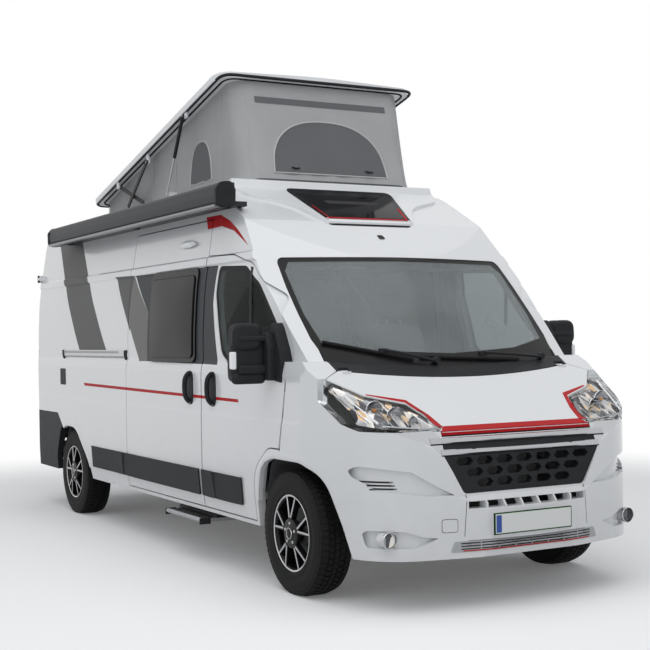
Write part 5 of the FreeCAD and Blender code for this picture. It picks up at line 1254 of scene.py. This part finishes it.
WINDOW_FOOT = 2.585
tent_window("tent_front_window", "front", -0.445, 0.445, WINDOW_FOOT, 0.385)
for look in ("right", "left"):
    tent_window("tent_side_window_" + look, look, -0.330, 0.060, WINDOW_FOOT, 0.295)
tent_panel("tent_front_strip", "front", oblong(-0.520, 0.520, 3.075, 3.118))
for side, name in SIDE_NAMES:
    tent_seam("tent_seam_" + name, "front", [(side * 0.60, z) for z in (2.56, 2.75, 2.9, 3.05, 3.12)], 0.0022)
    for number, y in enumerate((-0.50, 0.35, 0.80), start=1):
        rise = [(y, tent_low.z + (tent_top(y) - tent_low.z) * t) for t in (0.02, 0.3, 0.6, 0.95)]
        tent_seam("tent_side_seam_%s_%d" % (name, number), name, rise, 0.002)
for number, x in enumerate((-0.28, 0.30), start=1):
    hit = meet("front", x, WINDOW_FOOT + 0.030, TENT)
    if hit:
        toggle = [hit + Vector(step) for step in ((-0.03, -0.008, 0.012), (0, -0.012, 0), (0.03, -0.008, 0.010))]
        on_tent("tent_toggle_%d" % number, toggle, 0.005, rubber)
on_tent("tent_foot_rail", [Vector((x * 1.004, y - 0.004, tent_low.z + 0.006)) for x, y in tent_path()[::4]], 0.007,
        grey_plastic)
for part in tent_parts + [tent_piece]:
    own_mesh(part)

# Pop-up roof: the seals under its rim, drawn on the shut lid and raised with it. The outer black one is a seal and
# also stands for the shade under the lid's overhang: painted shade.
LID_HINGE = Vector((0, 1.9, 2.6))
LID_RAISED = math.radians(-13.2)
raised_turn = Matrix.Translation(LID_HINGE) @ Matrix.Rotation(LID_RAISED, 4, "X") @ Matrix.Translation(-LID_HINGE)
lid_points = [raised_turn.inverted() @ v.co for v in frame["nodes"]["pop_roof"].data.vertices]
rim_front = min(p.y for p in lid_points)
nose_points = [p for p in lid_points if p.y < rim_front + 0.1]
lid_reach = max(p.x for p in nose_points)
rim_z = min(p.z for p in nose_points)
rim_rear = max(p.y for p in lid_points if p.z >= rim_z - 0.002)


def lid_ring(inset, drop):
    """A closed line round the lid's rim, in its raised place."""
    reach = lid_reach - inset
    corners = rounded(oblong(-reach, reach, rim_front + inset, rim_rear - inset), 0.09, 6)
    ring = [raised_turn @ Vector((x, y, rim_z + drop)) for x, y in corners]
    return ring + ring[:1]


# A black seal ring, thick enough to be painted shade under the lid's overhang as well.
tube("lid_rim_seal_and_painted_shade", lid_ring(0.004, 0.004), 0.011, black_plastic, "pop_roof", smooth=False)
tube("lid_inner_seal", lid_ring(0.050, 0.002), 0.009, rubber, "pop_roof", smooth=False)

# ---- cab --------------------------------------------------------------------------------------------

def cushion(name, low, high, crown):
    """A stuffed block: edges pulled in, its top crowned, with sewn channels."""
    work = bmesh.new()
    bmesh.ops.create_cube(work, size=1)
    bmesh.ops.subdivide_edges(work, edges=work.edges[:], cuts=9, use_grid_fill=True)
    low, high = Vector(low), Vector(high)
    middle, half = (low + high) / 2, (high - low) / 2
    power = 5.0  # how square the block stays
    for vert in work.verts:
        c = vert.co * 2
        norm = (abs(c.x) ** power + abs(c.y) ** power + abs(c.z) ** power) ** (1 / power)
        c = c / max(norm, 1e-6) * max(abs(c.x), abs(c.y), abs(c.z))
        place = middle + Vector([c[i] * half[i] for i in range(3)])
        if c.z > 0.5:
            channel = 1 - min(1, abs(abs(c.x) - 0.55) * 12)
            place.z += crown * (1 - c.x ** 2) * (1 - c.y ** 2) - 0.004 * channel
        vert.co = place
    piece = make(name, work, seat_cloth, BODY, angle=80)
    smoothing = piece.modifiers.new("smoothing", "SUBSURF")
    smoothing.levels = smoothing.render_levels = 1
    return piece


def leaned(piece, foot):
    """Tip a finished mesh backwards about a line along X."""
    turn = Matrix.Translation(foot) @ Matrix.Rotation(SEAT_LEAN, 4, "X") @ Matrix.Translation(-Vector(foot))
    piece.data.transform(turn)
    return piece


SEAT_X = 0.43
SEAT_LEAN = math.radians(-9)
for side, name in ((-1, "passenger"), (1, "driver")):
    x = SEAT_X * side
    foot = (x, -1.02, 0.95)
    base = cushion("seat_cushion_" + name, (x - 0.25, -1.48, 0.85), (x + 0.25, -0.97, 0.985), 0.015)
    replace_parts(base, "cab_seats")
    back = leaned(cushion("seat_back_" + name, (x - 0.235, -1.075, 0.95), (x + 0.235, -0.965, 1.56), 0.0), foot)
    head = leaned(cushion("head_rest_" + name, (x - 0.13, -1.065, 1.59), (x + 0.13, -0.975, 1.76), 0.005), foot)
    brick("seat_box_" + name, (x - 0.21, -1.42, 0.622), (x + 0.21, -1.0, 0.85), grey_plastic, BODY, 0.01)
    for end, post in (("in", -0.05), ("out", 0.05)):
        tube("head_rest_post_%s_%s" % (name, end), [(x + post, -0.93, 1.55), (x + post, -0.92, 1.61)], 0.006,
             bare_steel, BODY, smooth=False)

# Dashboard dressing seen through the screen.
_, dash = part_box("dashboard")
brick("instrument_hood", (0.26, dash.y - 0.30, dash.z - 0.03), (0.60, dash.y - 0.10, dash.z + 0.055), black_plastic,
      BODY, 0.03, 4)
brick("centre_console", (-0.14, dash.y - 0.03, 0.98), (0.14, dash.y + 0.015, dash.z - 0.02), black_plastic, BODY,
      0.02, 3)
brick("screen_display", (-0.105, dash.y + 0.013, 1.10), (0.105, dash.y + 0.018, 1.20), gloss_black, BODY, 0.004)
brick("inside_mirror", (-0.12, -1.66, 1.80), (0.12, -1.635, 1.865), black_plastic, BODY, 0.012, 3)
for side, name in SIDE_NAMES:
    x = 0.42 * side
    brick("sun_visor_" + name, (x - 0.22, -1.62, 1.885), (x + 0.22, -1.48, 1.905), lining, BODY, 0.008)

# ---- rear -------------------------------------------------------------------------------------------

REAR = ("rear_door_right", "rear_door_left", "rear_glass_right", "rear_glass_left", "tail_lamps", "rear_bumper",
        "side_right", "side_left")
# Lenses of a tail lamp from the top down, as shares of its height.
TAIL_LENSES = ((0.80, 0.96, red_lens), (0.60, 0.78, red_lens), (0.44, 0.58, amber_glass), (0.22, 0.42, lens_glass),
               (0.04, 0.20, red_lens))


def on_rear(name, corners, radius, thick, finish, body, nodes=REAR, **laid):
    """A piece with rounded corners on the rear, lying on the surface as laid says."""
    patch(name, "rear", rounded(corners, radius), nodes, thick, finish, body, **laid)


lamp_low, lamp_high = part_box("tail_lamps")
for side, name in SIDE_NAMES:
    for number, (a, b, finish) in enumerate(TAIL_LENSES, start=1):
        low, high = (lamp_low.z + (lamp_high.z - lamp_low.z) * share for share in (a, b))
        lens = oblong((lamp_high.x - 0.10) * side, (lamp_high.x - 0.012) * side, low, high)
        on_rear("tail_lens_%s_%d" % (name, number), lens, 0.012, 0.004, finish, BODY, lift=0.004, bevel=0.002)
on_rear("rear_handle_dish", oblong(0.07, 0.17, 1.03, 1.20), 0.03, 0.004, black_plastic, "rear_door_left", lift=0.004,
        bevel=0.002)
back_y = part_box("rear_door_left")[1].y
grip = [(0.12, back_y + out, z) for out, z in ((-0.03, 1.19), (0.02, 1.17), (0.02, 1.06), (-0.03, 1.04))]
tube("rear_handle_grip", grip, 0.011, black_plastic, "rear_door_left")
on_rear("rear_plate_frame", oblong(-0.735, -0.205, 0.985, 1.115), 0.01, 0.004, gloss_black, "rear_door_right",
        lift=0.003, grid=0.3)
on_rear("rear_plate", oblong(-0.728, -0.212, 0.993, 1.107), 0.008, 0.003, plate_white, "rear_door_right", lift=0.0055,
        grid=0.3)
on_rear("third_brake_lamp", oblong(-0.16, 0.16, 2.215, 2.245), 0.008, 0.008, red_lens, BODY, REAR + ("roof_shell",),
        lift=0.008, grid=0.1, bevel=0.002)
for side, name in SIDE_NAMES:
    for number, z in enumerate((0.90, 1.43, 2.04), start=1):
        hinge = [(0.964 * side, 2.991, z - 0.032), (0.964 * side, 2.991, z + 0.032)]
        tube("rear_hinge_cap_%s_%d" % (name, number), hinge, 0.0095, black_plastic, BODY, smooth=False)
    on_rear("bumper_reflector_" + name, oblong(0.62 * side, 0.80 * side, 0.50, 0.54), 0.008, 0.003, red_lens, BODY,
            ("rear_bumper",), lift=0.003, bevel=0.001)

# Entry step: a ribbed tread, a bright front edge and end plates.
RIB_STEP = 0.022
step_low, step_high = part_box("entry_step")
ribs = bmesh.new()
add_box(ribs, (-0.004, 0.0, 0.0), (0.004, step_high.y - step_low.y - 0.08, 0.004))
repeated("step_ribs", ribs, "line", int((step_high.x - step_low.x - 0.04) / RIB_STEP), (RIB_STEP, 0, 0), rubber,
         "entry_step", (step_low.x + 0.02, step_low.y + 0.04, step_high.z - 0.001))
edge = [(step_low.x - 0.002, y, step_high.z - 0.010) for y in (step_low.y + 0.01, step_high.y - 0.01)]
tube("step_edge", edge, 0.014, silver_plastic, "entry_step", smooth=False, sides=12)
for name, y in (("front", step_low.y + 0.004), ("rear", step_high.y - 0.004)):
    brick("step_end_" + name, (step_low.x - 0.018, y - 0.006, step_low.z - 0.012),
          (step_low.x + 0.060, y + 0.006, step_high.z + 0.006), black_plastic, "entry_step", 0.004)

# ---- stage ------------------------------------------------------------------------------------------

CAMERA_PLACE = (-4.25028, -8.3663, 1.47307)
CAMERA_TURN = (29.1265, -0.523, -0.911)  # yaw, pitch and roll, in degrees
CAMERA_LENS = 69.05
CAMERA_SHIFT = (-0.00375, 0.03475)
DAYLIGHT = (0.93, 0.96, 1.0, 1)
DAYLIGHT_LEVEL = 0.40
PURE_WHITE = (1.0, 1.0, 1.0)
FLOOR_GLOW = 0.10  # lifts the floor to white
FLOOR_FADE = (4.2, 7.5)  # from and to: the floor turns pure white over these distances
FLOOR_REACH = 40


def make_camera():
    """A long lens off the right front corner, at the height of the windscreen's foot."""
    camera = show(bpy.data.cameras.new("camera"), "camera")
    yaw, pitch, roll = (math.radians(a) for a in CAMERA_TURN)
    forward = Vector((math.sin(yaw) * math.cos(pitch), math.cos(yaw) * math.cos(pitch), math.sin(pitch)))
    level = Vector((math.cos(yaw), -math.sin(yaw), 0))
    up = level.cross(forward)
    right = level * math.cos(roll) + up * math.sin(roll)
    up = up * math.cos(roll) - level * math.sin(roll)
    camera.matrix_world = Matrix.Translation(CAMERA_PLACE) @ Matrix((right, up, -forward)).transposed().to_4x4()
    camera.data.lens = CAMERA_LENS
    camera.data.sensor_width = 36
    camera.data.shift_x, camera.data.shift_y = CAMERA_SHIFT
    bpy.context.scene.camera = camera


def area_light(name, place, target, size, power):
    """A soft lamp that faces its target."""
    light = bpy.data.lights.new(name, "AREA")
    light.shape = "RECTANGLE"
    light.size, light.size_y = size
    light.energy = power
    holder = show(light, name)
    holder.location = place
    holder.rotation_euler = (Vector(target) - Vector(place)).to_track_quat("-Z", "Y").to_euler()


def seen_rays(tree):
    """1 for rays that a viewer sees, straight, mirrored or through glass."""
    path = tree.nodes.new("ShaderNodeLightPath")
    total = path.outputs["Is Camera Ray"]
    for kind in ("Is Glossy Ray", "Is Transmission Ray"):
        more = tree.nodes.new("ShaderNodeMath")
        more.operation = "MAXIMUM"
        tree.links.new(total, more.inputs[0])
        tree.links.new(path.outputs[kind], more.inputs[1])
        total = more.outputs[0]
    return total


def make_world():
    """Soft light from all round, seen as white."""
    world = bpy.data.worlds.new("studio")
    world.use_nodes = True
    tree = world.node_tree
    tree.nodes.clear()
    out = tree.nodes.new("ShaderNodeOutputWorld")
    mix = tree.nodes.new("ShaderNodeMixShader")
    tree.links.new(seen_rays(tree), mix.inputs[0])
    for index, (color, level) in enumerate(((DAYLIGHT, DAYLIGHT_LEVEL), ((*PURE_WHITE, 1), 1.0)), start=1):
        background = tree.nodes.new("ShaderNodeBackground")
        background.inputs[0].default_value = color
        background.inputs[1].default_value = level
        tree.links.new(background.outputs[0], mix.inputs[index])
    tree.links.new(mix.outputs[0], out.inputs[0])
    bpy.context.scene.world = world


def make_floor():
    """A floor that reads as white, with the shadow left on it, and pure white far off."""
    mesh = bpy.data.meshes.new("floor")
    mesh.from_pydata([(x, y, 0) for x, y in oblong(-FLOOR_REACH, FLOOR_REACH, -FLOOR_REACH, FLOOR_REACH)], [],
                     [(0, 1, 2, 3)])
    floor = show(mesh, "floor")
    finish = Finish("pale_floor", (0.75, 0.75, 0.75), 0.9)
    away = finish.node("ShaderNodeVectorMath", {"operation": "LENGTH"}, finish.place()[0], out=1)
    far = finish.node("ShaderNodeMapRange", {"interpolation_type": "SMOOTHSTEP"}, away, *FLOOR_FADE, 0.0, 1.0)
    near_look = finish.node("ShaderNodeBsdfDiffuse", {}, PURE_WHITE)
    glow = finish.node("ShaderNodeEmission", {}, PURE_WHITE, FLOOR_GLOW)
    near_look = finish.node("ShaderNodeAddShader", {}, near_look, glow)
    far_look = finish.node("ShaderNodeEmission", {}, PURE_WHITE, 1.0)
    seen = finish.node("ShaderNodeMixShader", {}, far, near_look, far_look)
    rays = Wire(finish, seen_rays(finish.tree))
    finish.join(finish.out, "Surface", finish.node("ShaderNodeMixShader", {}, rays, finish.surface, seen))
    mesh.materials.append(finish.material)


make_camera()
make_world()
make_floor()
area_light("sky_panel", (-2, -3, 9), (0, 0, 0), (12, 12), 420)
area_light("front_panel", (-3, -12, 5), (0, -1, 1), (8, 4), 90)
area_light("side_panel", (-11, 0, 5), (0, 0, 1.2), (10, 4), 60)
bpy.context.scene.view_settings.view_transform = "Standard"
